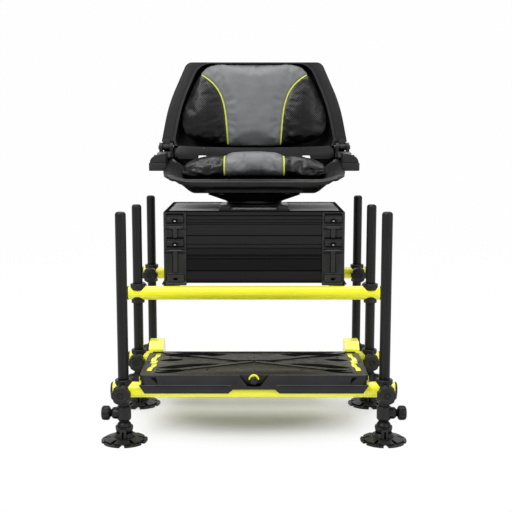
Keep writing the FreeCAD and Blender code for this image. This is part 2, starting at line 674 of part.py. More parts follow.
def seat_pan():
    """Moulded bucket pan with rolled rim, side ears, hinge towers and ribbed underside."""
    stations = [
        (20, 207, 595, 172, 576),
        (30, 217, 600, 168, 566),
        (75, 229, 606, 164, 552),
        (150, 238, 622, 160, Z_PAN),
        (225, 248, 642, 158, Z_PAN),
        (288, 247, 641, 158, 562),
    ]
    outer = Part.makeLoft(
        [seat_section(Y_MID + y, half, rim, fh, floor, 26 if floor < 575 else 8) for y, half, rim, fh, floor in stations],
        True,
        False,
    )
    rim_band = Part.makeLoft(
        [
            Part.makePolygon(
                [
                    V(-half - 7, Y_MID + y, rim - 8),
                    V(half + 7, Y_MID + y, rim - 8),
                    V(half + 7, Y_MID + y, rim),
                    V(-half - 7, Y_MID + y, rim),
                    V(-half - 7, Y_MID + y, rim - 8),
                ]
            )
            for y, half, rim, fh, floor in stations
        ],
        True,
        False,
    )
    hollow = [
        (32, 208, 601, 178, PAN_FLOOR + 3),
        (75, 223, 606, 172, PAN_FLOOR),
        (150, 232, 622, 168, PAN_FLOOR),
        (225, 242, 642, 168, PAN_FLOOR + 2),
        (281, 240, 641, 165, PAN_FLOOR + 10),
    ]
    inner = Part.makeLoft(
        [seat_section(Y_MID + y, half, rim, fh, floor, 9, 40) for y, half, rim, fh, floor in hollow], True, False
    )
    lip_top = stations[0][2]
    lip = prism(
        [
            V(-214, Y_MID + 19 - LIP_T, lip_top),
            V(-192, Y_MID + 19 - LIP_T, lip_top - LIP_H * 0.75),
            V(-140, Y_MID + 19 - LIP_T, lip_top - LIP_H),
            V(140, Y_MID + 19 - LIP_T, lip_top - LIP_H),
            V(192, Y_MID + 19 - LIP_T, lip_top - LIP_H * 0.75),
            V(214, Y_MID + 19 - LIP_T, lip_top),
        ],
        V(0, LIP_T + 2, 0),
    )
    pan = union(outer, rim_band, lip).cut(inner)
    pan = pan.cut(block(-132, 132, Y_MID + 24, Y_MID + 58, Z_PAN - 10, lip_top - LIP_H - 2))
    for x0, x1 in ((-132, -47), (-42, 42), (47, 132)):
        for y0, y1 in ((85, 148), (153, 215)):
            pan = pan.cut(block(x0, x1, Y_MID + y0, Y_MID + y1, Z_PAN - 10, PAN_FLOOR - PAN_WALL))
    for side in SIDES.values():
        ear = union(
            block(side * 240, side * 286, Y_MID + 120, Y_MID + 190, 609, 631),
            block(side * 240, side * 278, Y_MID + 120, Y_MID + 178, 630, 651),
        )
        ear = ear.cut(inner)
        towers = []
        for x0, x1 in ((229, 237.6), (258.4, 267)):
            plate = block(side * x0, side * x1, AXIS_Y - 13, AXIS_Y + 13, 628, AXIS_Z)
            towers.append(union(plate, rod(13, V(side * x0, AXIS_Y, AXIS_Z), V(side * x1, AXIS_Y, AXIS_Z))))
        tie = block(side * 229, side * 267, AXIS_Y - 13, AXIS_Y + 13, 628, 644)
        pan = union(pan, ear, tie, *towers)
    pan = pan.cut(rod(AXIS_PIN_D / 2 + SEAT_GAP, V(-300, AXIS_Y, AXIS_Z), V(300, AXIS_Y, AXIS_Z)))
    return pan


def back_half_width(up):
    """Half width of the backrest at a height up its plane."""
    return BACK_HALF - 0.085 * up - 0.00095 * up * up


def back_outline(inset, y, bottom, top, corner, foot):
    """Outline of the backrest or its bowl in the upright plane y, with rounded corners."""
    middle = BACK_TOP / 2
    top_x = back_half_width(top) - inset
    middle_x = back_half_width(middle) - inset
    low_x = back_half_width(bottom) - inset
    points = [
        V(top_x, y, top),
        V(-top_x, y, top),
        V(-middle_x, y, middle),
        V(-low_x, y, bottom),
        V(0, y, bottom - BACK_BELLY),
        V(low_x, y, bottom),
        V(middle_x, y, middle),
    ]
    return rounded_wire(points, [corner, corner, 420, foot, 700, foot, 420])


def lean_back(shape):
    """Carry a piece drawn upright about the fold axis to its place."""
    shape.rotate(V(0, 0, 0), X_AXIS, -LEAN)
    shape.translate(V(0, AXIS_Y, AXIS_Z))
    return shape


def backrest():
    """Backrest shell: wide border flange, moulded bowl behind it and two hinge lugs."""
    rim = FLANGE_W
    wall = BACK_WALL
    flange = Part.Face(back_outline(0, 0, -16, BACK_TOP, 22, 30)).extrude(V(0, 6, 0))
    bead = Part.Face(back_outline(rim - 8, -2, -15, BACK_TOP - 1, 48, 30)).extrude(V(0, 3, 0))
    bowl = Part.makeLoft(
        [
            back_outline(rim - wall, 0, -13, BACK_TOP, 50, 34),
            back_outline(rim + 4, BOWL_DEPTH - 16, -7, BACK_TOP - 8, 48, 34),
            back_outline(rim + 31, BOWL_DEPTH, 12, BACK_TOP - 36, 40, 34),
        ],
        True,
        False,
    )
    hollow = Part.makeLoft(
        [
            back_outline(rim, -3, -10, BACK_TOP - wall, 50, 34),
            back_outline(rim + wall + 4, BOWL_DEPTH - 20, -3, BACK_TOP - wall - 8, 46, 34),
            back_outline(rim + wall + 31, BOWL_DEPTH - wall - 1, 16, BACK_TOP - wall - 36, 38, 34),
        ],
        True,
        False,
    )
    shell = union(flange, bowl, bead).cut(hollow)
    notches = []
    lugs = []
    for side in SIDES.values():
        notches.append(block(side * 226, side * 270, -20, 20, -40, 16))
        barrel = rod(9, V(side * 238.2, 0, 0), V(side * 257.8, 0, 0))
        arm = block(side * 238.2, side * 257.8, -2, 8, 0, 24)
        lugs.append(union(barrel, arm))
    shell = largest(shell.cut(notches))
    shell = union(shell, *lugs)
    ribs = [block(x - 3, x + 3, BOWL_DEPTH - 10, BOWL_DEPTH + 6, 20, 185) for x in (-120, -60, 60, 120)]
    ribs = [rib.cut(bowl) for rib in ribs]
    shell = union(shell, *ribs)
    shell = shell.cut(rod(AXIS_PIN_D / 2 + RUN_FIT, V(-300, 0, 0), V(300, 0, 0)))
    return lean_back(shell), hollow


def cushions(pan, hollow):
    """Seat bolster resting in the pan and the padded back in its bowl."""
    stations = [
        (-189, 72, 236, 606, 604, 620),
        (-180, 56, 252, 597, 598, 633),
        (-128, 44, 262, 589, 587, 651),
        (-78, 40, 265, 598, 587, 659),
        (0, 38, 266, 608, 587, 662),
        (78, 40, 265, 598, 587, 659),
        (128, 44, 262, 589, 587, 651),
        (180, 56, 252, 597, 598, 633),
        (189, 72, 236, 606, 604, 620),
    ]
    wires = []
    for x, y0, y1, front, rear, top in stations:
        rise = top - max(front, rear)
        r = rise * 0.3
        points = [
            V(x, Y_MID + y0, front),
            V(x, Y_MID + y1, rear),
            V(x, Y_MID + y1, top - rise * 0.36),
            V(x, Y_MID + 0.6 * y0 + 0.4 * y1, top),
            V(x, Y_MID + y0, top - rise * 0.16),
        ]
        wires.append(rounded_wire(points, [r * 0.8, r * 0.8, r, 60, r]))
    bolster = largest(Part.makeLoft(wires, True, False).cut(pan))
    save("seat_cushion", bolster)
    rim = FLANGE_W
    pad = Part.makeLoft(
        [
            back_outline(rim + 42, BOWL_DEPTH - 5.3, 26, BACK_TOP - 48, 36, 34),
            back_outline(rim + 15, BOWL_DEPTH - 24, 8, BACK_TOP - 18, 46, 40),
            back_outline(rim + 8, 2, 2, BACK_TOP - 8, 52, 44),
            back_outline(rim + 8, -6, 2, BACK_TOP - 4, 54, 46),
            back_outline(rim + 20, -14, 12, BACK_TOP - 14, 48, 42),
            back_outline(rim + 62, -19, 50, BACK_TOP - 52, 40, 36),
        ],
        True,
        True,
    )
    save("back_cushion", lean_back(pad))


def seat():
    """Swivel, pan, backrest, fold pins and cushions."""
    pan = seat_pan()
    save("seat_pan", pan)
    swivel(pan)
    shell, hollow = backrest()
    save("backrest_shell", shell)
    pins = []
    for side in SIDES.values():
        shank = rod(AXIS_PIN_D / 2, V(side * 228, AXIS_Y, AXIS_Z), V(side * 268, AXIS_Y, AXIS_Z))
        head = rod(6.5, V(side * 267.05, AXIS_Y, AXIS_Z), V(side * 270, AXIS_Y, AXIS_Z))
        tail = rod(6.5, V(side * 226, AXIS_Y, AXIS_Z), V(side * 228.95, AXIS_Y, AXIS_Z))
        pins.append(union(shank, head, tail))
    save("seat_hinge_pins", *pins)
    cushions(pan, hollow)


def lens(x0, y0, x1, y1, width, z):
    """Pointed lens-shaped cutter lying between two points of the deck top."""
    start = V(x0, y0, z)
    end = V(x1, y1, z)
    along = end.sub(start)
    across = V(-along.y, along.x, 0)
    across.normalize()
    middle = start.add(along * 0.5)
    arcs = [
        Part.Arc(start, middle.add(across * (width / 2)), end).toShape(),
        Part.Arc(end, middle.sub(across * (width / 2)), start).toShape(),
    ]
    return Part.Face(Part.Wire(arcs)).extrude(V(0, 0, 40))


def bar(start, end, width, height):
    """Flat rib between two points of the deck top."""
    along = end.sub(start)
    across = V(-along.y, along.x, 0)
    across.normalize()
    half = across * (width / 2)
    return prism([start.add(half), end.add(half), end.sub(half), start.sub(half)], V(0, 0, height))


def footplate():
    """Cast footplate deck with angled front lip, side rails, low tubes and fittings."""
    fittings = []
    for name, y in (("low_front_tube", Y_FRONT), ("low_mid_tube", Y_MID)):
        save(name, cross_tube(y, Z_LOW, -1))
        for side in SIDES.values():
            x = side * LEG_X
            fittings += [leg_sleeve(x, y, Z_LOW, -1), clamp_boss(x, y, Z_LOW, -1), end_cap(side, y, Z_LOW)]
    save("low_frame_fittings", *fittings)

    rails = []
    for side in SIDES.values():
        x0 = side * RAIL_X - RAIL_W / 2
        x1 = side * RAIL_X + RAIL_W / 2
        rail = block(x0, x1, Y_FRONT, Y_MID, 108, RAIL_TOP)
        channel = block(x0 + RAIL_WALL, x1 - RAIL_WALL, Y_FRONT, Y_MID - 30, 100, RAIL_TOP - RAIL_WALL)
        rail = rail.cut(channel)
        stop = prism(
            [
                V(x0, Y_MID - 78, RAIL_TOP - 5),
                V(x0, Y_MID - 6, RAIL_TOP - 5),
                V(x0, Y_MID - 6, 168),
                V(x0, Y_MID - 20, 182),
                V(x0, Y_MID - 58, 182),
                V(x0, Y_MID - 78, 166),
            ],
            V(x1 - x0, 0, 0),
        )
        rail = union(rail, stop)
        for y in (Y_FRONT, Y_MID):
            rail = rail.cut(rod(TUBE_D / 2 + SEAT_GAP, V(x0 - 5, y, Z_LOW), V(x1 + 5, y, Z_LOW)))
            rail = rail.cut(block(x0 - 1, x1 + 1, y - 20, y + 20, 100, Z_LOW - 17))
        rail = rail.cut(block(x0 - 1, x1 + 1, Y_FRONT - 20, Y_FRONT + 12, Z_LOW, RAIL_TOP + 1))
        rails.append(largest(rail))
    save("footplate_rails", *rails)

    z_under = RAIL_TOP + BODY_GAP
    front = Y_FRONT + DECK_FRONT
    rear = Y_FRONT + DECK_REAR
    plan = [
        V(-DECK_HALF, front, z_under),
        V(DECK_HALF, front, z_under),
        V(DECK_HALF, rear - 14, z_under),
        V(DECK_HALF - 14, rear, z_under),
        V(-DECK_HALF + 14, rear, z_under),
        V(-DECK_HALF, rear - 14, z_under),
    ]
    deck = Part.Face(rounded_wire(plan, [0, 0, 6, 6, 6, 6])).extrude(V(0, 0, DECK_TOP - z_under))
    y = Y_FRONT
    lip = prism(
        [
            V(-DECK_HALF, y - 22, DECK_TOP),
            V(-DECK_HALF, y - 30, LIP_CREASE),
            V(-DECK_HALF, y - 25, LIP_BOTTOM),
            V(-DECK_HALF, y - 19, LIP_BOTTOM),
            V(-DECK_HALF, y - 19, z_under),
            V(-DECK_HALF, y - 10, z_under + 2),
            V(-DECK_HALF, y - 10, DECK_TOP),
        ],
        V(2 * DECK_HALF, 0, 0),
    )
    web = block(-37, 37, y - 20.5, y - 13, 137.2, DECK_TOP)
    ribs = [block(-DECK_HALF + 8, DECK_HALF - 8, y + 197, y + 205, DECK_TOP - 1, DECK_TOP + RIB_RISE)]
    for side in SIDES.values():
        for foot in (8, 196):
            ribs.append(bar(V(side * 226, y + foot, DECK_TOP - 1), V(side * 4, y + 106, DECK_TOP - 1), 15, RIB_RISE + 1))
    deck = union(deck, lip, web, *ribs)
    trims = [
        prism([V(-35, y - 60, DECK_TOP + 1), V(-15, y - 60, 139), V(15, y - 60, 139), V(35, y - 60, DECK_TOP + 1)], V(0, 41, 0)),
        prism([V(-60, y - 60, LIP_BOTTOM - 1), V(-48, y - 60, 131), V(48, y - 60, 131), V(60, y - 60, LIP_BOTTOM - 1)], V(0, 50, 0)),
    ]
    for side in SIDES.values():
        x = side * DECK_HALF
        trims.append(prism([V(x, y - 60, LIP_CREASE), V(x - side * 12, y - 60, LIP_BOTTOM - 1), V(x + side * 5, y - 60, LIP_BOTTOM - 1)], V(0, 50, 0)))
        corner = [V(x - side * 16, y - 32, LIP_CREASE), V(x + side, y - 32, LIP_CREASE), V(x + side, y - 14, LIP_CREASE)]
        trims.append(prism(corner, V(0, 0, 40)))
        for y0, y1 in ((20, 96), (112, 194)):
            bend = (y0 + y1) / 2
            slot = [(252, y0), (239, y0), (239, bend - 8), (233, bend + 6), (233, y1), (246, y1), (246, bend + 6), (252, bend - 8)]
            trims.append(prism([V(side * u, y + v, 140) for u, v in slot], V(0, 0, 40)))
        trims += [
            lens(side * 222, y + 172, side * 70, y + 180, 26, 140),
            lens(side * 228, y + 48, side * 70, y + 82, 26, 140),
            lens(side * 226, y + 118, side * 178, y + 128, 13, 140),
            lens(side * 226, y + 10, side * 168, y + 28, 13, 140),
        ]
    trims.append(lens(-66, y + 110, 66, y + 110, 12, 140))
    for y0 in (30, 150, 190):
        trims.append(rod(3, V(0, y + y0, 140), V(0, y + y0, 180)))
    pockets = []
    for x0, x1 in ((-225, -152), (-148, -77), (-73, -2), (2, 73), (77, 148), (152, 225)):
        for y0, y1 in ((22, 92), (97, 146), (151, 200)):
            pockets.append(block(x0, x1, y + y0, y + y1, z_under - 1, DECK_TOP - DECK_T))
    deck = deck.cut(trims).cut(pockets)
    socket = rod(6, V(0, y - 60, 153), V(0, y - 8, 153))
    deck = largest(deck.cut(socket))
    ring = turned([(6, 0), (KNOB_RING_D / 2, 0), (KNOB_RING_D / 2, 4), (KNOB_RING_D / 2 - 1, 5), (6, 5)], V(0, y - 19.5, 153), V(0, -1, 0))
    save("footplate_deck", deck, ring)

    rim = DECK_KNOB_D / 2
    knob = turned([(0, 2), (5.9, 2), (5.9, 18), (rim - 2, 18), (rim, 20), (rim, 26), (rim - 3, 29), (0, 29)], V(0, y - 7, 153), V(0, -1, 0))
    for i in range(5):
        angle = 2 * math.pi * (i + 0.5) / 5
        cx = (rim + 1.5) * math.cos(angle)
        cz = 153 + (rim + 1.5) * math.sin(angle)
        knob = knob.cut(rod(3.4, V(cx, y - 40, cz), V(cx, y - 24, cz)))
    save("deck_knob", knob)


def legs():
    """Six legs with their foot blocks, hand knobs and mud discs."""
    for row in ROW_Y:
        for name, side in SIDES.items():
            tag = "%s_%s" % (row, name)
            save("leg_" + tag, *leg(row, side))
            save("foot_block_" + tag, foot_block(row, side))
            save("foot_knob_" + tag, foot_knob(row, side))
            save("foot_disc_" + tag, foot_disc(row, side))


def star_knobs():
    """Eight clamp knobs, one for each crossing of a leg and a tube."""
    places = {
        "upper_front": (Y_MID, Z_UPPER, 1),
        "upper_rear": (Y_REAR, Z_UPPER, -1),
        "low_front": (Y_FRONT, Z_LOW, -1),
        "low_mid": (Y_MID, Z_LOW, -1),
    }
    for place, (y, z, face) in places.items():
        for name, side in SIDES.items():
            save("star_knob_%s_%s" % (place, name), star_knob(side * LEG_X, y, z, face))


os.makedirs("parts", exist_ok=True)
frame()
box_modules()
seat()
footplate()
legs()
star_knobs()
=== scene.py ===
"""Looks of the fishing seat box: finishes, soft cushions, trim, floor, light and camera."""
from __future__ import annotations

import json
import logging
import math
from dataclasses import dataclass, field
from enum import Enum

import bmesh
import bpy
from mathutils import Matrix, Vector, noise
from mathutils.bvhtree import BVHTree

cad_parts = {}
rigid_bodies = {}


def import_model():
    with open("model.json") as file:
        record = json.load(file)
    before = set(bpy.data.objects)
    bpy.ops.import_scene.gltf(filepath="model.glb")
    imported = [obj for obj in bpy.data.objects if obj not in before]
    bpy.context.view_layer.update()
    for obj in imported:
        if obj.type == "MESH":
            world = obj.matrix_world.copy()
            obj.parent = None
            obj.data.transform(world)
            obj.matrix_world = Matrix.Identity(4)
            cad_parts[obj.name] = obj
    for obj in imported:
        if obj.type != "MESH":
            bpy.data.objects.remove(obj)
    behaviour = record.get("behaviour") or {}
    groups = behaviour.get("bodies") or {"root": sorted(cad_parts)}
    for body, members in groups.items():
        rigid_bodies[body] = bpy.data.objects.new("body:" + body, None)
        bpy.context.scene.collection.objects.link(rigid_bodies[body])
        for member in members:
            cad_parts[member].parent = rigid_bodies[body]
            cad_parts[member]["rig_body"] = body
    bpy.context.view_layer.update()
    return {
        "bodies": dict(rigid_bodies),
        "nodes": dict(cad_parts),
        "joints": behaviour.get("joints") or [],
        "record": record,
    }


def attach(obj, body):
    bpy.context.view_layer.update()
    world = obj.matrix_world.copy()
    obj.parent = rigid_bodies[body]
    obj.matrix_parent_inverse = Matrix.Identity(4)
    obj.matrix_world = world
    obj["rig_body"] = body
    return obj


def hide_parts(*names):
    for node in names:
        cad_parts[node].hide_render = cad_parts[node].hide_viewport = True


Colour = tuple[float, float, float]
Marks = list[tuple[float, float]]
Socket = bpy.types.NodeSocket
Spots = list[tuple[Vector, Vector]]

LOG = logging.getLogger("seat_box")
MM = 0.001

# Sizes shared with the CAD frame, in metres.
BOX_FRONT = -0.003
FRONT_LEGS = -0.318
DECK_TOP = 0.163
FOLD_AXIS = (0, 0.244, 0.668)
LEAN = Matrix.Translation(FOLD_AXIS) @ Matrix.Rotation(math.radians(-10.0), 4, "X")

# Colour of the painted shade that every black finish fades to in grooves, corners and on undersides.
DEEP_SHADE: Colour = (0.0008, 0.0008, 0.0008)

# Heights of the base panels' fields, with the share of light kept below each, for bands of painted shade.
PANEL_SHADE_BANDS = ((0.412, 0.70), (0.389, 0.70), (0.355, 1.55), (0.334, 0.80))


class Side(Enum):
    """Left and right as seen from the front."""

    LEFT = -1
    RIGHT = 1


class Drawn(Enum):
    """Way a profile was drawn, as streak cells per metre along each axis."""

    LEVEL = (6.0, 900.0, 900.0)
    UPRIGHT = (900.0, 900.0, 6.0)


def grey(level: float) -> Colour:
    """Even grey of one level."""
    return (level, level, level)


def clamped(value: float) -> float:
    """Value held between 0 and 1."""
    return min(1.0, max(0.0, value))


class TreeWork:
    """Short calls that add and connect the nodes of one tree, which subclasses set."""

    tree: bpy.types.NodeTree

    def feed(self, value: object, socket: Socket) -> None:
        """Link another node's socket to an input, or set the input to a plain value.

        Args:
            value: Socket to link, or a number, colour, vector or name.
            socket: Input that takes it.
        """
        if isinstance(value, bpy.types.NodeSocket):
            self.tree.links.new(value, socket)
        else:
            socket.default_value = value

    def node(self, kind: str, values: dict[str, object] | None = None, **settings: object) -> bpy.types.Node:
        """Add a node.

        Args:
            kind: Blender's type name of the node.
            values: What its inputs take, by label.
            **settings: Attributes to set on it before its inputs are fed.

        Returns:
            The new node.
        """
        made = self.tree.nodes.new(kind)
        for key, value in settings.items():
            setattr(made, key, value)
        for label, value in (values or {}).items():
            self.feed(value, made.inputs[label])
        return made


@dataclass
class Shader(TreeWork):
    """A material under construction, with short calls for the nodes it needs.

    Attributes:
        name: Name of the material.
    """

    name: str

    def __post_init__(self) -> None:
        """Make the material with a bare Principled shader."""
        self.material = bpy.data.materials.new("finish." + self.name)
        self.material.use_nodes = True
        self.tree = self.material.node_tree
        self.bsdf = self.tree.nodes["Principled BSDF"]
        places = self.node("ShaderNodeTexCoord")
        self.position = places.outputs["Object"]
        self.normal = places.outputs["Normal"]

    def surface(self, values: dict[str, object]) -> None:
        """Feed inputs of the Principled shader, by label."""
        for label, value in values.items():
            self.feed(value, self.bsdf.inputs[label])

    def axis(self, name: str, vector: Socket) -> Socket:
        """One axis of a vector."""
        return self.node("ShaderNodeSeparateXYZ", {"Vector": vector}).outputs[name]

    def upward(self) -> Socket:
        """How far the surface faces up, from -1 to 1."""
        return self.axis("Z", self.normal)

    def stretched(self, scale: Colour) -> Socket:
        """Object coordinates scaled by axis, for drawn patterns."""
        return self.node("ShaderNodeMapping", {"Scale": scale, "Vector": self.position}).outputs["Vector"]

    def noise(
        self, scale: float, detail: float = 3.0, rough: float = 0.55, vector: Socket | None = None
    ) -> Socket:
        """Noise texture.

        Args:
            scale: Cells per metre.
            detail: Octaves.
            rough: Strength of the finer octaves.
            vector: Coordinates, or None for Object coordinates.

        Returns:
            The noise value, about 0.5 on average.
        """
        values = {"Scale": scale, "Detail": detail, "Roughness": rough, "Vector": vector or self.position}
        return self.node("ShaderNodeTexNoise", values).outputs["Fac"]

    def cloud(self, scale: float) -> Socket:
        """Soft blotches from 0 to 1."""
        return self.spread(self.noise(scale, 4.0), 0.0, 1.0, 0.25, 0.75)

    def cells(self, scale: float, smooth: float = 0.0) -> Socket:
        """Distance to the cell centres of a Voronoi texture, for grain and leather.

        Args:
            scale: Cells per metre.
            smooth: How far the borders melt, or 0 for sharp ones.

        Returns:
            The distance.
        """
        feature = "SMOOTH_F1" if smooth else "F1"
        made = self.node("ShaderNodeTexVoronoi", {"Scale": scale, "Vector": self.position}, feature=feature)
        if smooth:
            made.inputs["Smoothness"].default_value = smooth
        return made.outputs["Distance"]

    def spread(self, value: Socket, low: float, high: float, start: float = 0.3, end: float = 0.7) -> Socket:
        """Map a value's range start..end on low..high."""
        limits = {"From Min": start, "From Max": end, "To Min": low, "To Max": high}
        return self.node("ShaderNodeMapRange", {**limits, "Value": value}).outputs["Result"]

    def blend(self, share: Socket, low: Colour | Socket, high: Colour | Socket) -> Socket:
        """Mix two colours.

        Args:
            share: Value from 0, all low, to 1, all high.
            low: First colour.
            high: Second colour.

        Returns:
            The mixed colour.
        """
        made = self.node("ShaderNodeMix", {"Factor": share}, data_type="RGBA")
        for name, colour in (("A", low), ("B", high)):
            socket = next(s for s in made.inputs if s.name == name and s.type == "RGBA")
            self.feed((*colour, 1.0) if isinstance(colour, tuple) else colour, socket)
        return next(s for s in made.outputs if s.type == "RGBA")

    def math(self, operation: str, a: Socket | float, b: Socket | float = 0.0) -> Socket:
        """Math node over two sockets or numbers.

        Args:
            operation: Blender's name of the operation.
            a: First value.
            b: Second value.

        Returns:
            The result.
        """
        made = self.node("ShaderNodeMath", operation=operation)
        for socket, value in zip(made.inputs, (a, b)):
            self.feed(value, socket)
        return made.outputs[0]

    def bump(self, *layers: tuple[Socket, float, float]) -> None:
        """Stack bump maps on the shader's normal.

        Args:
            *layers: Height, strength and distance of each, from the bottom up.
        """
        previous = None
        for height, strength, distance in layers:
            made = self.node("ShaderNodeBump", {"Strength": strength, "Distance": distance, "Height": height})
            if previous is not None:
                self.feed(previous, made.inputs["Normal"])
            previous = made.outputs["Normal"]
        self.feed(previous, self.bsdf.inputs["Normal"])

    def attribute(self, name: str) -> Socket:
        """Value of a mesh attribute."""
        return self.node("ShaderNodeAttribute", attribute_name=name).outputs["Fac"]

    def painted_shade(self, reach: float) -> Socket:
        """Share of light that reaches a surface, used to paint shade into colour and sheen.

        Args:
            reach: How far the shade of corners and grooves spreads, in metres.

        Returns:
            1 on open surfaces down to 0 in grooves, corners and on undersides.
        """
        near = self.node("ShaderNodeAmbientOcclusion", {"Distance": reach}, samples=6)
        open_share = self.spread(near.outputs["AO"], 0.0, 1.0, 0.35, 0.95)
        return self.math("MULTIPLY", open_share, self.spread(self.upward(), 0.12, 1.0, -0.75, -0.12))

    def edge_highlight(self) -> Socket:
        """0 on flats to 1 on edges, from the pointiness of bevelled geometry, for a painted highlight there.
        """
        geometry = self.node("ShaderNodeNewGeometry")
        return self.spread(geometry.outputs["Pointiness"], 0.0, 1.0, 0.51, 0.59)


@dataclass(frozen=True)
class LimePaint:
    """Gloss powder paint of the cross tubes and rails.

    Attributes:
        colour: Main colour.
        shade: Colour that it drifts to.
    """

    colour: Colour = (0.99, 0.97, 0.03)
    shade: Colour = (0.93, 0.93, 0.025)

    def build(self) -> bpy.types.Material:
        """Faint orange peel, slight tone drift and a clear coat."""
        s = Shader("lime_paint")
        drift = s.spread(s.noise(9.0, 2.0), 0.0, 1.0, 0.2, 0.8)
        s.surface(
            {
                "Base Color": s.blend(drift, self.colour, self.shade),
                "Roughness": s.spread(s.noise(60.0), 0.2, 0.28),
                "Coat Weight": 0.35,
                "Coat Roughness": 0.12,
            }
        )
        s.bump((s.noise(900.0, 2.0), 0.02, 0.0003))
        return s.material


@dataclass(frozen=True)
class Moulding:
    """Moulded plastic, rubber or coated metal with a fine grain.

    Attributes:
        name: Material name.
        dark: Darker base colour of its clouds.
        light: Lighter base colour of its clouds.
        rough: Middle roughness.
        grain: Cells of grain per metre.
        depth: Grain height in metres.
        metal: Metallic share.
        shine: Specular level.
        top: Share of it left on surfaces that face up, a painted dimming of their reflection.
        reach: How far the shade of corners and grooves spreads, in metres.
    """

    name: str
    dark: Colour
    light: Colour
    rough: float = 0.45
    grain: float = 1400.0
    depth: float = 0.0003
    metal: float = 0.0
    shine: float = 0.32
    top: float = 1.0
    reach: float = 0.008

    def build(self) -> bpy.types.Material:
        """Cloudy tone, grain bump, painted highlights on edges, and painted shade in grooves, corners, on
        undersides and in the sheen of upward faces.
        """
        s = Shader(self.name)
        tone = s.blend(s.cloud(22.0), self.dark, self.light)
        # Painted highlight: sharp edges get a paler colour.
        edge_lit = tuple(min(1.0, 2.1 * c + 0.012) for c in self.light)
        tone = s.blend(s.math("MULTIPLY", s.edge_highlight(), 0.5), tone, edge_lit)
        # Painted shade: colour and sheen fade in grooves, corners and on undersides, and the sheen is dimmed
        # on upward faces.
        clear = s.painted_shade(self.reach)
        top_dimmed_sheen = s.spread(s.upward(), self.shine, self.shine * self.top, 0.6, 0.95)
        s.surface(
            {
                "Base Color": s.blend(clear, DEEP_SHADE, tone),
                "Roughness": s.spread(s.noise(70.0), self.rough - 0.07, self.rough + 0.07),
                "Metallic": self.metal,
                "Specular IOR Level": s.math("MULTIPLY", clear, top_dimmed_sheen),
            }
        )
        s.bump((s.noise(self.grain, 2.0), 0.35, self.depth), (s.cells(self.grain * 0.6), 0.15, self.depth))
        return s.material


@dataclass(frozen=True)
class DrawnMetal:
    """Black anodised aluminium with faint lines along the drawing direction.

    Attributes:
        name: Material name.
        dark: Base colour.
        light: Base colour of the lines.
        drawn: Way of the lines.
        rough: Middle roughness.
        bands: Heights in metres with the share of light kept below each, for painted shade on the fields of a
            wall.
    """

    name: str
    dark: Colour
    light: Colour
    drawn: Drawn
    rough: float
    bands: tuple[tuple[float, float], ...] = ()

    def build(self) -> bpy.types.Material:
        """Streaks stretched along the profile over a satin, with painted shade in grooves, corners, on
        undersides and in bands by height, and a sheen dimmed on upward faces.
        """
        s = Shader(self.name)
        streak = s.noise(1.0, 4.0, 0.6, s.stretched(self.drawn.value))
        clear = s.painted_shade(0.008)
        # Painted shade: colour and sheen darken below each given height.
        for level, share in self.bands:
            kept = s.spread(s.axis("Z", s.position), share, 1.0, level - 0.003, level)
            clear = s.math("MULTIPLY", clear, kept)
        tone = s.blend(s.spread(streak, 0.0, 1.0), self.dark, self.light)
        rough = s.math("ADD", s.spread(streak, -0.05, 0.06), self.rough)
        s.surface(
            {
                "Base Color": s.blend(clear, DEEP_SHADE, tone),
                "Roughness": s.math("ADD", rough, s.spread(s.noise(15.0), -0.04, 0.04)),
                "Metallic": 0.25,
                "Specular IOR Level": s.math("MULTIPLY", clear, s.spread(s.upward(), 0.3, 0.08, 0.6, 0.95)),
            }
        )
        s.bump((streak, 0.12, 0.0002))
        return s.material


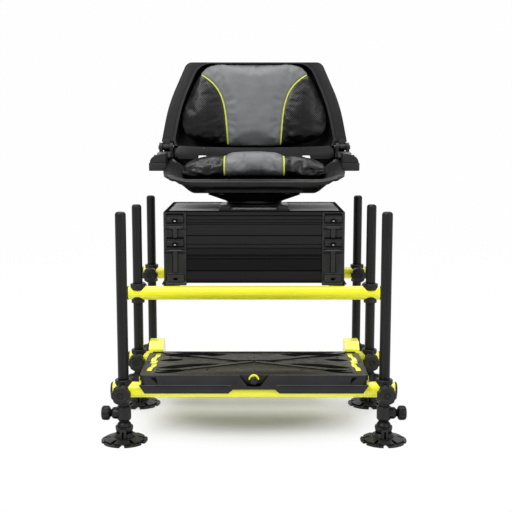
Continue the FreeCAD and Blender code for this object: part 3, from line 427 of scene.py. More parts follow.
@dataclass(frozen=True)
class Leather:
    """Two-tone upholstery leather: a grey centre panel between black side panels.

    Attributes:
        grey_tones: Darker and lighter grey of the centre panel.
        black_tones: Darker and lighter black of the side panels.
        pitch: Holes per metre in the perforated leather.
    """

    grey_tones: tuple[Colour, Colour] = ((0.140, 0.143, 0.148), (0.175, 0.179, 0.184))
    black_tones: tuple[Colour, Colour] = ((0.006, 0.006, 0.0065), (0.012, 0.0115, 0.012))
    pitch: float = 210.0

    def build(self) -> bpy.types.Material:
        """Pebbled grain, creases, colour by the distance from the seam, and painted shade in folds and where
        it faces down.
        """
        s = Shader("two_tone_leather")
        inside = s.spread(s.attribute("seam"), 0.0, 1.0, -0.0004, 0.0004)
        cloud = s.cloud(30.0)
        # Painted shade: the black darkens in folds and where it faces down, the grey where it faces down, and
        # the sheen of both dims with the black's shade.
        shade = s.math("MULTIPLY", s.painted_shade(0.012), s.spread(s.upward(), 0.08, 1.0, -0.4, 0.3))
        pale_shade = s.spread(s.upward(), 0.6, 1.0, -0.8, -0.1)
        black = s.blend(shade, grey(0.002), s.blend(cloud, *self.black_tones))
        pale = s.blend(pale_shade, grey(0.01), s.blend(cloud, *self.grey_tones))
        holes = self.perforations(s)
        wear = s.noise(120.0)
        roughs = {"Factor": inside, "A": s.spread(wear, 0.30, 0.42), "B": s.spread(wear, 0.46, 0.6)}
        s.surface(
            {
                "Base Color": s.blend(holes, s.blend(inside, black, pale), grey(0.003)),
                "Roughness": s.node("ShaderNodeMix", roughs, data_type="FLOAT").outputs["Result"],
                "Specular IOR Level": s.math("MULTIPLY", shade, s.spread(holes, 0.5, 0.0, 0.0, 1.0)),
            }
        )
        s.bump(
            (s.cells(620.0, 0.6), 0.3, 0.0005),
            (s.noise(240.0), 0.2, 0.0006),
            (s.math("SUBTRACT", 1.0, holes), 0.6, 0.0008),
        )
        return s.material

    def perforations(self, s: Shader) -> Socket:
        """Rows of small holes in the black panels.

        Args:
            s: Shader that they are made in.

        Returns:
            0 on leather to 1 in a hole.
        """
        cover = s.node("ShaderNodeUVMap", uv_map="cover")
        slant = {"Vector": cover.outputs["UV"], "Angle": math.radians(45)}
        turned = s.node("ShaderNodeVectorRotate", slant, rotation_type="Z_AXIS")
        rows = {"Vector": turned.outputs["Vector"], "Scale": self.pitch, "Randomness": 0.0}
        grid = s.node("ShaderNodeTexVoronoi", rows, voronoi_dimensions="2D")
        hole = s.spread(grid.outputs["Distance"], 1.0, 0.0, 0.20, 0.32)
        return s.math("MULTIPLY", hole, s.attribute("pierced"))


@dataclass(frozen=True)
class PipingCloth:
    """Lime woven cord that covers the seams."""

    def build(self) -> bpy.types.Material:
        """Bright lime with a fine twill."""
        s = Shader("lime_piping")
        weave = s.cells(2600.0)
        twill = s.blend(s.spread(weave, 0.0, 1.0, 0.0, 0.6), (0.86, 0.93, 0.10), (0.60, 0.68, 0.05))
        s.surface({"Base Color": twill, "Roughness": 0.55})
        s.bump((weave, 0.5, 0.0003))
        return s.material


@dataclass(frozen=True)
class FoamMat:
    """Pale grey foam mat let into the lid."""

    def build(self) -> bpy.types.Material:
        """Closed-cell foam with fine pores and scuffs."""
        s = Shader("grey_mat")
        tone = s.blend(s.cloud(16.0), (0.40, 0.405, 0.41), (0.50, 0.505, 0.51))
        s.surface({"Base Color": tone, "Roughness": 0.8})
        s.bump((s.cells(900.0), 0.4, 0.0005))
        return s.material


@dataclass(frozen=True)
class StudioFloor:
    """White floor that turns plain white to the camera away from the object, and holds its shadow, with a
    painted darker pool round the object.
    """

    def build(self) -> bpy.types.Material:
        """Diffuse white under a share of plain white for camera and mirror rays, a share that falls in an
        ellipse round the object.
        """
        s = Shader("studio_floor")
        s.surface({"Base Color": (*grey(0.9), 1.0), "Roughness": 0.9})
        path = s.node("ShaderNodeLightPath").outputs
        seen = s.math("MAXIMUM", path["Is Camera Ray"], path["Is Glossy Ray"])
        seen = s.math("MAXIMUM", seen, path["Is Transmission Ray"])
        # Painted shadow: round the object the floor's own shading shows through, its real shadow and a darker
        # pool in its lit part.
        shade_oval = {"Location": (0.0, 0.15, 0.0), "Scale": (2.3, 2.9, 1.0), "Vector": s.position}
        place = s.node("ShaderNodeMapping", shade_oval)
        far = s.node("ShaderNodeVectorMath", operation="LENGTH")
        s.feed(place.outputs["Vector"], far.inputs[0])
        limits = {"From Min": 0.35, "From Max": 1.0, "To Min": 0.12, "To Max": 0.98}
        rise = {**limits, "Value": far.outputs["Value"]}
        share = s.node("ShaderNodeMapRange", rise, interpolation_type="SMOOTHSTEP")
        mix = s.node("ShaderNodeMixShader", {"Fac": s.math("MULTIPLY", seen, share.outputs["Result"])})
        s.feed(s.bsdf.outputs["BSDF"], mix.inputs[1])
        s.feed(s.node("ShaderNodeEmission").outputs["Emission"], mix.inputs[2])
        s.feed(mix.outputs["Shader"], s.tree.nodes["Material Output"].inputs["Surface"])
        return s.material


@dataclass
class Palette:
    """Every finish of the object, built once.

    Attributes:
        made: Materials by name.
    """

    made: dict[str, bpy.types.Material] = field(default_factory=dict)

    def __post_init__(self) -> None:
        """Build the finishes."""
        for finish in (*self.coatings(), *self.covers(), *self.metals()):
            material = finish.build()
            self.made[material.name.removeprefix("finish.")] = material

    def __getitem__(self, name: str) -> bpy.types.Material:
        """Material of that name."""
        return self.made[name]

    def coatings(self) -> list[LimePaint | Moulding | DrawnMetal]:
        """Paint, plastics, castings and anodised profiles."""
        return [
            LimePaint(),
            Moulding("black_plastic", grey(0.006), grey(0.014), rough=0.42),
            Moulding("knob_plastic", grey(0.007), grey(0.016), rough=0.46, grain=1100.0),
            Moulding("corner_plastic", grey(0.011), (0.022, 0.0215, 0.0215), rough=0.44, top=0.2),
            Moulding(
                "shell_plastic", (0.009, 0.0085, 0.0085), (0.018, 0.0165, 0.0165),
                rough=0.46, grain=1000.0, depth=0.0004,
            ),
            Moulding(
                "deck_casting", (0.012, 0.0115, 0.0125), (0.026, 0.025, 0.027),
                rough=0.38, grain=1700.0, depth=0.0004, metal=0.3,
            ),
            Moulding("foot_rubber", grey(0.013), grey(0.024), rough=0.5, grain=900.0, depth=0.0005),
            # Near-black without sheen: painted shade in grooves, latch windows, deck openings, joints and on
            # the deck's lip, and the mat's edging.
            Moulding("well_black", grey(0.0015), grey(0.003), rough=0.8, shine=0.02),
            DrawnMetal("leg_anodised", grey(0.010), grey(0.018), Drawn.UPRIGHT, 0.4),
            DrawnMetal(
                "panel_anodised", (0.010, 0.009, 0.010), (0.021, 0.019, 0.021),
                Drawn.LEVEL, 0.38, PANEL_SHADE_BANDS,
            ),
        ]

    def covers(self) -> list[Leather | PipingCloth | FoamMat | Moulding]:
        """Leather, piping, thread and foam."""
        thread = Moulding("black_thread", grey(0.02), grey(0.05), rough=0.6, grain=3000.0)
        return [Leather(), PipingCloth(), FoamMat(), thread]

    def metals(self) -> list[Moulding]:
        """Bright small parts and strips of painted highlight, all with the same fine grain."""
        rows = (
            ("screw_steel", (0.03, 0.03, 0.031), (0.07, 0.07, 0.072), 0.3, 0.8),
            # Next row: strips that paint highlight lines on edges and creases.
            ("edge_sheen", (0.045, 0.044, 0.047), (0.07, 0.068, 0.072), 0.36, 0.5),
            # Next row: catches whose pale colour is partly a painted glint.
            ("bright_catch", (0.28, 0.28, 0.29), (0.36, 0.36, 0.37), 0.35, 0.0),
            ("pale_plate", (0.26, 0.25, 0.265), (0.34, 0.33, 0.345), 0.3, 0.3),
            ("steel_pin", (0.16, 0.16, 0.165), (0.24, 0.24, 0.245), 0.3, 1.0),
        )
        return [
            Moulding(name, dark, light, rough=rough, grain=2400.0, depth=0.0001, metal=metal)
            for name, dark, light, rough, metal in rows
        ]


def new_piece(name: str, mesh: bpy.types.Mesh, *materials: bpy.types.Material) -> bpy.types.Object:
    """Link a mesh as an object at the origin.

    Args:
        name: Name of the piece.
        mesh: Mesh with its place in its vertices.
        *materials: Material slots in order.

    Returns:
        The new object.
    """
    made = bpy.data.objects.new(name, mesh)
    bpy.context.scene.collection.objects.link(made)
    for material in materials:
        mesh.materials.append(material)
    return made


def finished_mesh(name: str, body: bmesh.types.BMesh) -> bpy.types.Mesh:
    """Mesh of what a bmesh holds, which is freed."""
    mesh = bpy.data.meshes.new(name)
    body.to_mesh(mesh)
    body.free()
    return mesh


def smooth_faces(mesh: bpy.types.Mesh) -> None:
    """Shade every face smooth."""
    for face in mesh.polygons:
        face.use_smooth = True


def settled(piece: bpy.types.Object) -> bpy.types.Object:
    """Turn a piece's modifiers into plain mesh.

    Args:
        piece: Object whose mesh no other object uses.

    Returns:
        The same object.
    """
    graph = bpy.context.evaluated_depsgraph_get()
    mesh = bpy.data.meshes.new_from_object(piece.evaluated_get(graph))
    old = piece.data
    piece.modifiers.clear()
    piece.data = mesh
    bpy.data.meshes.remove(old)
    return piece


@dataclass
class NodeGraph(TreeWork):
    """A Geometry Nodes group with named inputs that ends in real geometry and one material.

    Attributes:
        name: Name of the group.
        inputs: Name and socket type of each input besides the geometry and the material.
    """

    name: str
    inputs: dict[str, str]

    def __post_init__(self) -> None:
        """Make the group, its sockets and its end nodes."""
        self.tree = bpy.data.node_groups.new(self.name, "GeometryNodeTree")
        face = self.tree.interface
        kinds = {"Geometry": "NodeSocketGeometry", **self.inputs, "Material": "NodeSocketMaterial"}
        self.sockets = {}
        for label, kind in kinds.items():
            self.sockets[label] = face.new_socket(name=label, in_out="INPUT", socket_type=kind)
        face.new_socket(name="Geometry", in_out="OUTPUT", socket_type="NodeSocketGeometry")
        self.given = self.node("NodeGroupInput").outputs
        self.result = self.node("NodeGroupOutput").inputs["Geometry"]

    def end(self, geometry: Socket) -> None:
        """Realize the geometry, give it the material and hand it out."""
        real = self.node("GeometryNodeRealizeInstances", {"Geometry": geometry}).outputs["Geometry"]
        coat = self.node("GeometryNodeSetMaterial", {"Geometry": real, "Material": self.given["Material"]})
        self.feed(coat.outputs["Geometry"], self.result)

    def apply(self, name: str, mesh: bpy.types.Mesh, **values: object) -> bpy.types.Object:
        """Run the group on a mesh.

        Args:
            name: Name of the new piece.
            mesh: Points or edges that the group works on.
            **values: Inputs by name.

        Returns:
            The piece as plain mesh.
        """
        piece = new_piece(name, mesh)
        modifier = piece.modifiers.new(self.name, "NODES")
        modifier.node_group = self.tree
        for label, value in values.items():
            modifier[self.sockets[label].identifier] = value
        return settled(piece)


class CordAlong(NodeGraph):
    """Round cord along the edges of a mesh."""

    def __init__(self) -> None:
        """Sweep a circle along the paths."""
        super().__init__("cord_along", {"Radius": "NodeSocketFloat"})
        path = self.node("GeometryNodeMeshToCurve", {"Mesh": self.given["Geometry"]})
        round_form = {"Resolution": 12, "Radius": self.given["Radius"]}
        ring = self.node("GeometryNodeCurvePrimitiveCircle", round_form)
        course = {"Curve": path.outputs["Curve"], "Profile Curve": ring.outputs["Curve"], "Fill Caps": True}
        self.end(self.node("GeometryNodeCurveToMesh", course).outputs["Mesh"])


class StitchRow(NodeGraph):
    """Row of equal stitches along the edges of a mesh."""

    def __init__(self) -> None:
        """Spread thread loops at a fixed pitch."""
        super().__init__("stitch_row", {label: "NodeSocketFloat" for label in ("Pitch", "Length", "Thread")})
        path = self.node("GeometryNodeMeshToCurve", {"Mesh": self.given["Geometry"]})
        pitch = {"Curve": path.outputs["Curve"], "Length": self.given["Pitch"]}
        spots = self.node("GeometryNodeCurveToPoints", pitch, mode="LENGTH")
        stitch = self.node("GeometryNodeMeshUVSphere", {"Segments": 8, "Rings": 5, "Radius": 1.0})
        thread = self.given["Thread"]
        size = self.node("ShaderNodeCombineXYZ", {"X": thread, "Y": thread, "Z": self.given["Length"]})
        row = {
            "Points": spots.outputs["Points"],
            "Rotation": spots.outputs["Rotation"],
            "Instance": stitch.outputs["Mesh"],
            "Scale": size.outputs["Vector"],
        }
        self.end(self.node("GeometryNodeInstanceOnPoints", row).outputs["Instances"])


class FastenerField(NodeGraph):
    """One fastener on every vertex of a mesh, its head along the vertex's "facing" vector."""

    def __init__(self) -> None:
        """Turn and scale an instance on every point."""
        super().__init__("fastener_field", {"Fastener": "NodeSocketObject", "Scale": "NodeSocketFloat"})
        head = {"Object": self.given["Fastener"]}
        shape = self.node("GeometryNodeObjectInfo", head, transform_space="ORIGINAL")
        facing = self.node("GeometryNodeInputNamedAttribute", {"Name": "facing"}, data_type="FLOAT_VECTOR")
        way = {"Vector": facing.outputs["Attribute"]}
        turn = self.node("FunctionNodeAlignRotationToVector", way, axis="Z")
        spots = self.node("GeometryNodeMeshToPoints", {"Mesh": self.given["Geometry"]})
        row = {
            "Points": spots.outputs["Points"],
            "Instance": shape.outputs["Geometry"],
            "Rotation": turn.outputs["Rotation"],
            "Scale": self.given["Scale"],
        }
        self.end(self.node("GeometryNodeInstanceOnPoints", row).outputs["Instances"])


def path_mesh(name: str, paths: list[list[Vector]]) -> bpy.types.Mesh:
    """Mesh of open polylines, for what follows a path.

    Args:
        name: Name of the mesh.
        paths: Points of each polyline in order.

    Returns:
        The mesh, which has only vertices and edges.
    """
    points: list[Vector] = []
    edges: list[tuple[int, int]] = []
    for path in paths:
        first = len(points)
        points += path
        edges += [(first + i, first + i + 1) for i in range(len(path) - 1)]
    mesh = bpy.data.meshes.new(name)
    mesh.from_pydata([tuple(p) for p in points], edges, [])
    return mesh


def eased(p: float, q: float, r: float, s: float, t: float) -> float:
    """Value between q and r on the smooth curve through four values, at a share t of the way."""
    bend = (2 * p - 5 * q + 4 * r - s) * t * t
    return 0.5 * (2 * q + (r - p) * t + bend + (3 * q - p - 3 * r + s) * t ** 3)


def smooth_loop(corners: Marks, count: int) -> Marks:
    """Closed smooth curve through some points.

    Args:
        corners: Points in order.
        count: Samples, spread evenly by length.

    Returns:
        The samples.
    """
    dense = []
    n = len(corners)
    steps = 12
    for i in range(n):
        near = [corners[(i + k - 1) % n] for k in range(4)]
        for j in range(steps):
            dense.append(tuple(eased(*values, j / steps) for values in zip(*near)))
    reach = [0.0]
    for i, point in enumerate(dense):
        reach.append(reach[-1] + math.dist(point, dense[(i + 1) % len(dense)]))
    samples = []
    k = 0
    for i in range(count):
        goal = reach[-1] * i / count
        while reach[k + 1] < goal:
            k += 1
        share = (goal - reach[k]) / (reach[k + 1] - reach[k])
        start, end = dense[k], dense[(k + 1) % len(dense)]
        samples.append(tuple(u + (v - u) * share for u, v in zip(start, end)))
    return samples


def ring_form(name: str, rings: list[list[Vector]]) -> bpy.types.Mesh:
    """Closed mesh through rings, fanned shut at both ends.

    Args:
        name: Name of the mesh.
        rings: Rings in order, all of the same count of points.

    Returns:
        The mesh.
    """
    body = bmesh.new()
    rows = [[body.verts.new(point) for point in ring] for ring in rings]
    for near, far in zip(rows, rows[1:]):
        for i, vert in enumerate(near):
            j = (i + 1) % len(near)
            body.faces.new((vert, near[j], far[j], far[i]))
    for row, ring in ((rows[0], rings[0]), (rows[-1], rings[-1])):
        middle = body.verts.new(sum(ring, Vector()) / len(ring))
        for i, vert in enumerate(row):
            body.faces.new((vert, row[(i + 1) % len(row)], middle))
    bmesh.ops.recalc_face_normals(body, faces=body.faces)
    return finished_mesh(name, body)


@dataclass
class Upholstery:
    """A stuffed leather cover: drawn form, inflated by cloth, then seams and creases.

    Attributes:
        name: Name of the piece.
        node: CAD node that it stands for.
        body: Body that it rides on.
        voxel: Cell of the remesh in metres.
        pressure: Inflation of the cloth.
        frames: Steps of the inflation.
        cap: How far the cloth may move, in metres.
        slack: Extra cloth as a share, which buckles into creases.
        groove: Depth of the seams in metres.
        groove_half: Half width of the seams in metres.
        place: Matrix from the drawn form to the frame.
    """

    name: str
    node: str
    body: str
    voxel: float = 0.005
    pressure: float = 4.0
    frames: int = 20
    cap: float = 0.009
    slack: float = 0.03
    groove: float = 0.0022
    groove_half: float = 0.004
    place: Matrix = field(default_factory=Matrix)

    def rings(self) -> list[list[Vector]]:
        """Rings of the drawn form."""
        raise NotImplementedError

    def seam(self, point: Vector) -> float:
        """Distance to the seam in metres, positive inside the centre panel."""
        raise NotImplementedError

    def held(self, point: Vector) -> float:
        """1 where the cover is sewn or rests, 0 where it is free."""
        raise NotImplementedError

    def crease(self, point: Vector) -> float:
        """Height of the small folds at a point, in metres."""
        raise NotImplementedError

    def pierced(self, point: Vector) -> float:
        """1 where the leather is perforated."""
        return 0.0

    def flat(self, point: Vector) -> tuple[float, float]:
        """Place on the cut cover, in metres, for patterns in the leather."""
        return point.x, point.z

    def inflate(self, piece: bpy.types.Object) -> None:
        """Blow the cover up with cloth and keep the capped result."""
        rest = [vert.co.copy() for vert in piece.data.vertices]
        pins = piece.vertex_groups.new(name="held")
        for i, point in enumerate(rest):
            weight = self.held(point)
            if weight > 0:
                pins.add([i], weight, "REPLACE")
        cloth = piece.modifiers.new("stuffing", "CLOTH")
        cloth.settings.quality = 5
        cloth.settings.mass = 0.3
        cloth.settings.tension_stiffness = 15
        cloth.settings.compression_stiffness = 15
        cloth.settings.shear_stiffness = 5
        cloth.settings.bending_stiffness = 0.4
        cloth.settings.use_pressure = True
        cloth.settings.uniform_pressure_force = self.pressure
        cloth.settings.shrink_min = -self.slack
        cloth.settings.vertex_group_mass = "held"
        cloth.settings.effector_weights.gravity = 0
        cloth.collision_settings.use_collision = False
        scene = bpy.context.scene
        for frame in range(1, self.frames + 1):
            scene.frame_set(frame)
        graph = bpy.context.evaluated_depsgraph_get()
        moved = [vert.co.copy() for vert in piece.evaluated_get(graph).data.vertices]
        piece.modifiers.clear()
        for vert, start, end in zip(piece.data.vertices, rest, moved):
            way = end - start
            if way.length > self.cap:
                way *= self.cap / way.length
            vert.co = start + way
        scene.frame_set(1)

    def sew(self, mesh: bpy.types.Mesh) -> None:
        """Sink the seams, raise the creases and mark both for the leather."""
        normals = [vert.normal.copy() for vert in mesh.vertices]
        seams = mesh.attributes.new("seam", "FLOAT", "POINT")
        pierced = mesh.attributes.new("pierced", "FLOAT", "POINT")
        for vert, normal in zip(mesh.vertices, normals):
            gap = self.seam(vert.co)
            groove = self.groove * math.exp(-((gap / self.groove_half) ** 2))
            seams.data[vert.index].value = gap
            pierced.data[vert.index].value = self.pierced(vert.co)
            vert.co += normal * (self.crease(vert.co) - groove)
        cover = mesh.uv_layers.new(name="cover")
        for loop in mesh.loops:
            cover.data[loop.index].uv = self.flat(mesh.vertices[loop.vertex_index].co)

    def build(self, leather: bpy.types.Material) -> bpy.types.Object:
        """Make the cushion.

        Args:
            leather: Its material, which reads the "seam" attribute and the "cover" UV map.

        Returns:
            The finished piece, riding on its body.
        """
        piece = new_piece(self.name, ring_form(self.name, self.rings()))
        remesh = piece.modifiers.new("voxels", "REMESH")
        remesh.mode = "VOXEL"
        remesh.voxel_size = self.voxel
        settled(piece)
        self.inflate(piece)
        smooth = piece.modifiers.new("smooth", "SMOOTH")
        smooth.iterations = 2
        fine = piece.modifiers.new("fine", "SUBSURF")
        fine.levels = 1
        fine.render_levels = 1
        settled(piece)
        mesh = piece.data
        self.sew(mesh)
        mesh.transform(self.place)
        smooth_faces(mesh)
        mesh.materials.clear()
        mesh.materials.append(leather)
        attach(piece, self.body)
        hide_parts(self.node)
        LOG.info("%s: %d faces", self.name, len(mesh.polygons))
        return piece


@dataclass
class BackCushion(Upholstery):
    """Padded back in the backrest's bowl, drawn upright with the fold axis at zero.

    Attributes:
        crown: How far the front bulges, in metres.
        rim: Y of the outline at the edge of the front.
        shrink: Share of the drawn outline that is kept all round.
        seam_top: Height up to which the seams run.
        samples: Points of one line beside a seam.
    """

    crown: float = 0.019
    rim: float = 0.003
    shrink: float = 0.992
    seam_top: float = 0.2375
    samples: int = 90
    place: Matrix = field(default_factory=lambda: LEAN)

    def outline(self) -> Marks:
        """Outline of the cushion, from its bottom middle counterclockwise."""
        right = [
            (0.0, 3.0), (77, 4.5), (140, 11.5), (182, 25), (201, 48), (207, 76), (203, 105), (192, 134),
            (176, 174), (157, 205), (137, 226), (114, 235), (88, 237.5),
        ]
        left = [(-x, s) for x, s in reversed(right[1:])]
        middle = 120
        loop = smooth_loop(right + [(0.0, 238.5)] + left, 150)
        return [(x * self.shrink * MM, (middle + (s - middle) * self.shrink) * MM) for x, s in loop]

    def rings(self) -> list[list[Vector]]:
        """Crowned front, rolled edge and the back part in the bowl."""
        outline = self.outline()
        middle = 0.120
        front = (0.1, 0.3, 0.5, 0.68, 0.82, 0.91, 0.965, 0.99)
        stages = [(f, self.rim - self.crown * (1 - f ** 3.4) ** 0.5) for f in front]
        stages += [
            (1.0, self.rim + 0.002), (0.992, 0.012), (0.972, 0.021), (0.94, 0.029),
            (0.88, 0.036), (0.8, 0.041), (0.4, 0.042),
        ]
        return [[Vector((x * f, y, middle + (s - middle) * f)) for x, s in outline] for f, y in stages]

    def seam_x(self, up: float) -> float:
        """Half width of the grey panel at a height."""
        u = clamped((up + 0.005) / 0.245)
        return 0.073 + 0.018 * u + 0.139 * u ** 5.3

    def seam(self, point: Vector) -> float:
        """Signed distance to the seam, allowing for its slope."""
        x = self.seam_x(point.z)
        slope = (self.seam_x(point.z + MM) - x) / MM
        return (x - abs(point.x)) / math.hypot(1.0, slope)

    def held(self, point: Vector) -> float:
        """Sewn along the seams, held in the bowl."""
        if point.y > 0.006:
            return 1.0
        gap = abs(self.seam(point))
        return 1.0 if gap < 0.004 else max(0.0, 0.5 - 30 * gap)

    def crease(self, point: Vector) -> float:
        """Soft level waves on the grey panel and pulls along the edge of the black ones."""
        p = point * 1000
        gap = self.seam(point)
        small = noise.noise(Vector((p.x / 24, p.y / 22, p.z / 12 + 9)))
        if gap > 0:
            low = max(0.0, 1 - point.z / 0.11)
            level = noise.noise(Vector((p.x / 75, p.y / 60, p.z / 17)))
            return (0.0004 + 0.0008 * low) * level + 0.00015 * small
        rim = max(0.0, 1 - abs(gap) / 0.03)
        low = max(0.0, 1 - point.z / 0.09)
        pull = noise.noise(Vector((p.x / 30 + p.z / 26, p.y / 20, p.z / 14 - p.x / 40 + 3)))
        return (0.0001 + 0.0004 * rim + 0.0014 * low) * pull + 0.00006 * small

    def pierced(self, point: Vector) -> float:
        """Perforated on the flat of the black panels, plain round the edge."""
        gap = -self.seam(point)
        front = 1.0 if point.y < 0.0 else 0.0
        return clamped((gap - 0.012) / 0.004) * front * clamped((point.z - 0.062) / 0.006)

    def paths(self, surface: BVHTree, offset: float) -> list[list[Vector]]:
        """Lines on the front that run beside the seams.

        Args:
            surface: Surface of the finished cushion.
            offset: Distance from the seam in metres, positive towards the edge.

        Returns:
            One line for each side.
        """
        lines = []
        back = self.place.inverted()
        way = (self.place.to_3x3() @ Vector((0, 1, 0))).normalized()
        start_up = 0.004
        for side in Side:
            line = []
            for i in range(self.samples):
                up = start_up + (self.seam_top - start_up) * i / (self.samples - 1)
                start = self.place @ Vector((side.value * (self.seam_x(up) + offset), -0.12, up))
                spot = surface.ray_cast(start, way, 0.2)[0]
                if spot is not None and (back @ spot).y < 0.012:
                    line.append(spot)
            lines.append(line)
        return lines


@dataclass
class SeatBolster(Upholstery):
    """Seat cushion that lies across the bucket, with gathered black ends.

    Attributes:
        half: Half width of the drawn form without its end caps.
        seam_half: Half width of the grey panel.
        samples: Points of one line round the cushion.
    """

    half: float = 0.186
    seam_half: float = 0.078
    cap: float = 0.007
    slack: float = 0.05
    samples: int = 120

    def section(self, x: float) -> list[Vector]:
        """Ring across the cushion at x metres, which sinks and narrows towards the ends."""
        u = min(1.0, abs(x) / 0.189)
        drop = u ** 6
        front = 0.021 + 0.010 * u ** 2 + 0.024 * drop ** 2
        rear = 0.246 - 0.028 * drop ** 2
        top = 0.6525 - 0.027 * u ** 2 - 0.011 * drop - 0.004 * drop ** 3
        dip = math.sin(min(1.0, u / 0.80) * math.pi / 2) ** 2.4
        low_front = 0.610 - 0.0215 * dip + 0.012 * max(0.0, u - 0.88) / 0.12
        low_rear = 0.5905 + 0.016 * drop ** 3
        rise = top - low_front
        outline = [
            (front, low_front + 0.45 * rise),
            (front + 0.004, top - 0.25 * rise),
            (front + 0.022, top - 0.03 * rise),
            (front + 0.075, top + 0.001),
            (rear - 0.075, top - 0.004),
            (rear - 0.018, top - 0.011 - 0.15 * rise),
            (rear, low_rear + 0.45 * (top - low_rear)),
            (rear - 0.012, low_rear + 0.002),
            (0.5 * (front + rear), low_rear),
            (front + 0.045, 0.6 * low_rear + 0.4 * low_front),
            (front + 0.010, low_front + 0.04 * rise),
        ]
        return [Vector((x, y, z)) for y, z in smooth_loop(outline, 72)]

    def rings(self) -> list[list[Vector]]:
        """Rings from end to end, drawn in at both ends."""
        steps = 28
        quarter = math.pi / 2
        rings = [self.section(self.half * math.sin(quarter * (2 * i / steps - 1))) for i in range(steps + 1)]
        for end, ring in ((-1, rings[0]), (1, rings[-1])):
            middle = sum(ring, Vector()) / len(ring)
            extra = [
                [middle + (p - middle) * f + Vector((end * out, 0, 0)) for p in ring]
                for f, out in ((0.9, 0.003), (0.7, 0.0055), (0.4, 0.0065))
            ]
            rings = list(reversed(extra)) + rings if end < 0 else rings + extra
        return rings

    def seam(self, point: Vector) -> float:
        """Signed distance to the level seams."""
        return self.seam_half - abs(point.x)

    def held(self, point: Vector) -> float:
        """Sewn along the seams and resting on the pan."""
        if point.z < 0.602:
            return 1.0
        gap = abs(self.seam(point))
        return 1.0 if gap < 0.004 else max(0.0, 0.4 - 25 * gap)

    def crease(self, point: Vector) -> float:
        """Deep gathers on the black ends, faint waves in the middle."""
        p = point * 1000
        out = max(0.0, -self.seam(point)) / 0.105
        if out <= 0:
            return 0.0005 * noise.noise(Vector((p.x / 20, p.y / 45, p.z / 40)))
        turn = math.atan2(point.z - 0.612, abs(point.x) - 0.205)
        fold = noise.noise(Vector((turn * 5.5 + p.y / 90, out * 1.6, p.y / 34 + point.x * 20)))
        knot = noise.noise(Vector((p.x / 13, p.y / 15, p.z / 11)))
        return (0.0008 + 0.0026 * min(1.0, out * 1.4)) * fold + (0.0003 + 0.0010 * out) * knot

    def flat(self, point: Vector) -> tuple[float, float]:
        """Place on the cover by depth and width."""
        return point.x, point.y + point.z

    def paths(self, surface: BVHTree, offset: float) -> list[list[Vector]]:
        """Lines round the cushion beside the seams.

        Args:
            surface: Surface of the finished cushion.
            offset: Distance from the seam in metres, positive towards the ends.

        Returns:
            One line for each side.
        """
        lines = []
        front_hub, rear_hub = 0.09, 0.132
        for side in Side:
            line = []
            for i in range(self.samples):
                turn = math.radians(205 - 215 * i / (self.samples - 1))
                x = side.value * (self.seam_half + offset)
                hub = Vector((x, rear_hub if i >= self.samples // 2 else front_hub, 0.622))
                way = Vector((0, math.cos(turn), math.sin(turn)))
                spot = surface.ray_cast(hub + way * 0.4, -way, 0.4)[0]
                if spot is not None and spot.z > 0.6:
                    line.append(spot)
            lines.append(line)
        return lines


@dataclass
class Seams:
    """Piping and stitches of one cushion.

    Attributes:
        cushion: The cushion's drawing.
        piece: Its finished piece.
        palette: The finishes.
        radius: Radius of the piping.
        beside: Distance of the stitch rows from the seam.
        pitch: Distance from stitch to stitch.
        stitch: Half length of a stitch.
        thread: Radius of the thread.
    """

    cushion: BackCushion | SeatBolster
    piece: bpy.types.Object
    palette: Palette
    radius: float = 0.0021
    beside: float = 0.006
    pitch: float = 0.0042
    stitch: float = 0.0015
    thread: float = 0.00045

    def build(self, cord: CordAlong, row: StitchRow) -> None:
        """Lay the piping in the seams, and a stitch row on both sides of it.

        Args:
            cord: Node group that makes the piping.
            row: Node group that makes the stitches.
        """
        mesh = self.piece.data
        faces = [tuple(f.vertices) for f in mesh.polygons]
        surface = BVHTree.FromPolygons([v.co.copy() for v in mesh.vertices], faces)
        name = self.cushion.name
        piping = cord.apply(
            name + ".piping",
            path_mesh("piping", self.cushion.paths(surface, 0.0)),
            Radius=self.radius,
            Material=self.palette["lime_piping"],
        )
        smooth_faces(piping.data)
        thread = []
        for offset in (-self.beside, self.beside):
            thread += self.cushion.paths(surface, offset)
        stitches = row.apply(
            name + ".stitches",
            path_mesh("stitches", thread),
            Pitch=self.pitch,
            Length=self.stitch,
            Thread=self.thread,
            Material=self.palette["black_thread"],
        )
        for made in (piping, stitches):
            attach(made, self.cushion.body)
            LOG.info("sewn %s, %d faces", made.name, len(made.data.polygons))


def outline_solid(
    name: str, outline: list[Vector], sweep: Vector, edge: float, finish: bpy.types.Material
) -> bpy.types.Object:
    """Flat outline swept along a vector, with rounded edges, as plain mesh.

    Args:
        name: Name of the piece.
        outline: Corners in order.
        sweep: Way and length of the sweep.
        edge: Radius of the edges in metres.
        finish: Its material.

    Returns:
        The piece.
    """
    body = bmesh.new()
    near = [body.verts.new(point) for point in outline]
    far = [body.verts.new(point + sweep) for point in outline]
    body.faces.new(near)
    body.faces.new(list(reversed(far)))
    for i, vert in enumerate(near):
        j = (i + 1) % len(near)
        body.faces.new((vert, far[i], far[j], near[j]))
    bmesh.ops.recalc_face_normals(body, faces=body.faces)
    piece = new_piece(name, finished_mesh(name, body), finish)
    bevel = piece.modifiers.new("edges", "BEVEL")
    bevel.width = edge
    bevel.segments = 3
    bevel.limit_method = "ANGLE"
    bevel.angle_limit = math.radians(28)
    settled(piece)
    smooth_faces(piece.data)
    piece.data.set_sharp_from_angle(angle=math.radians(40))
    return piece


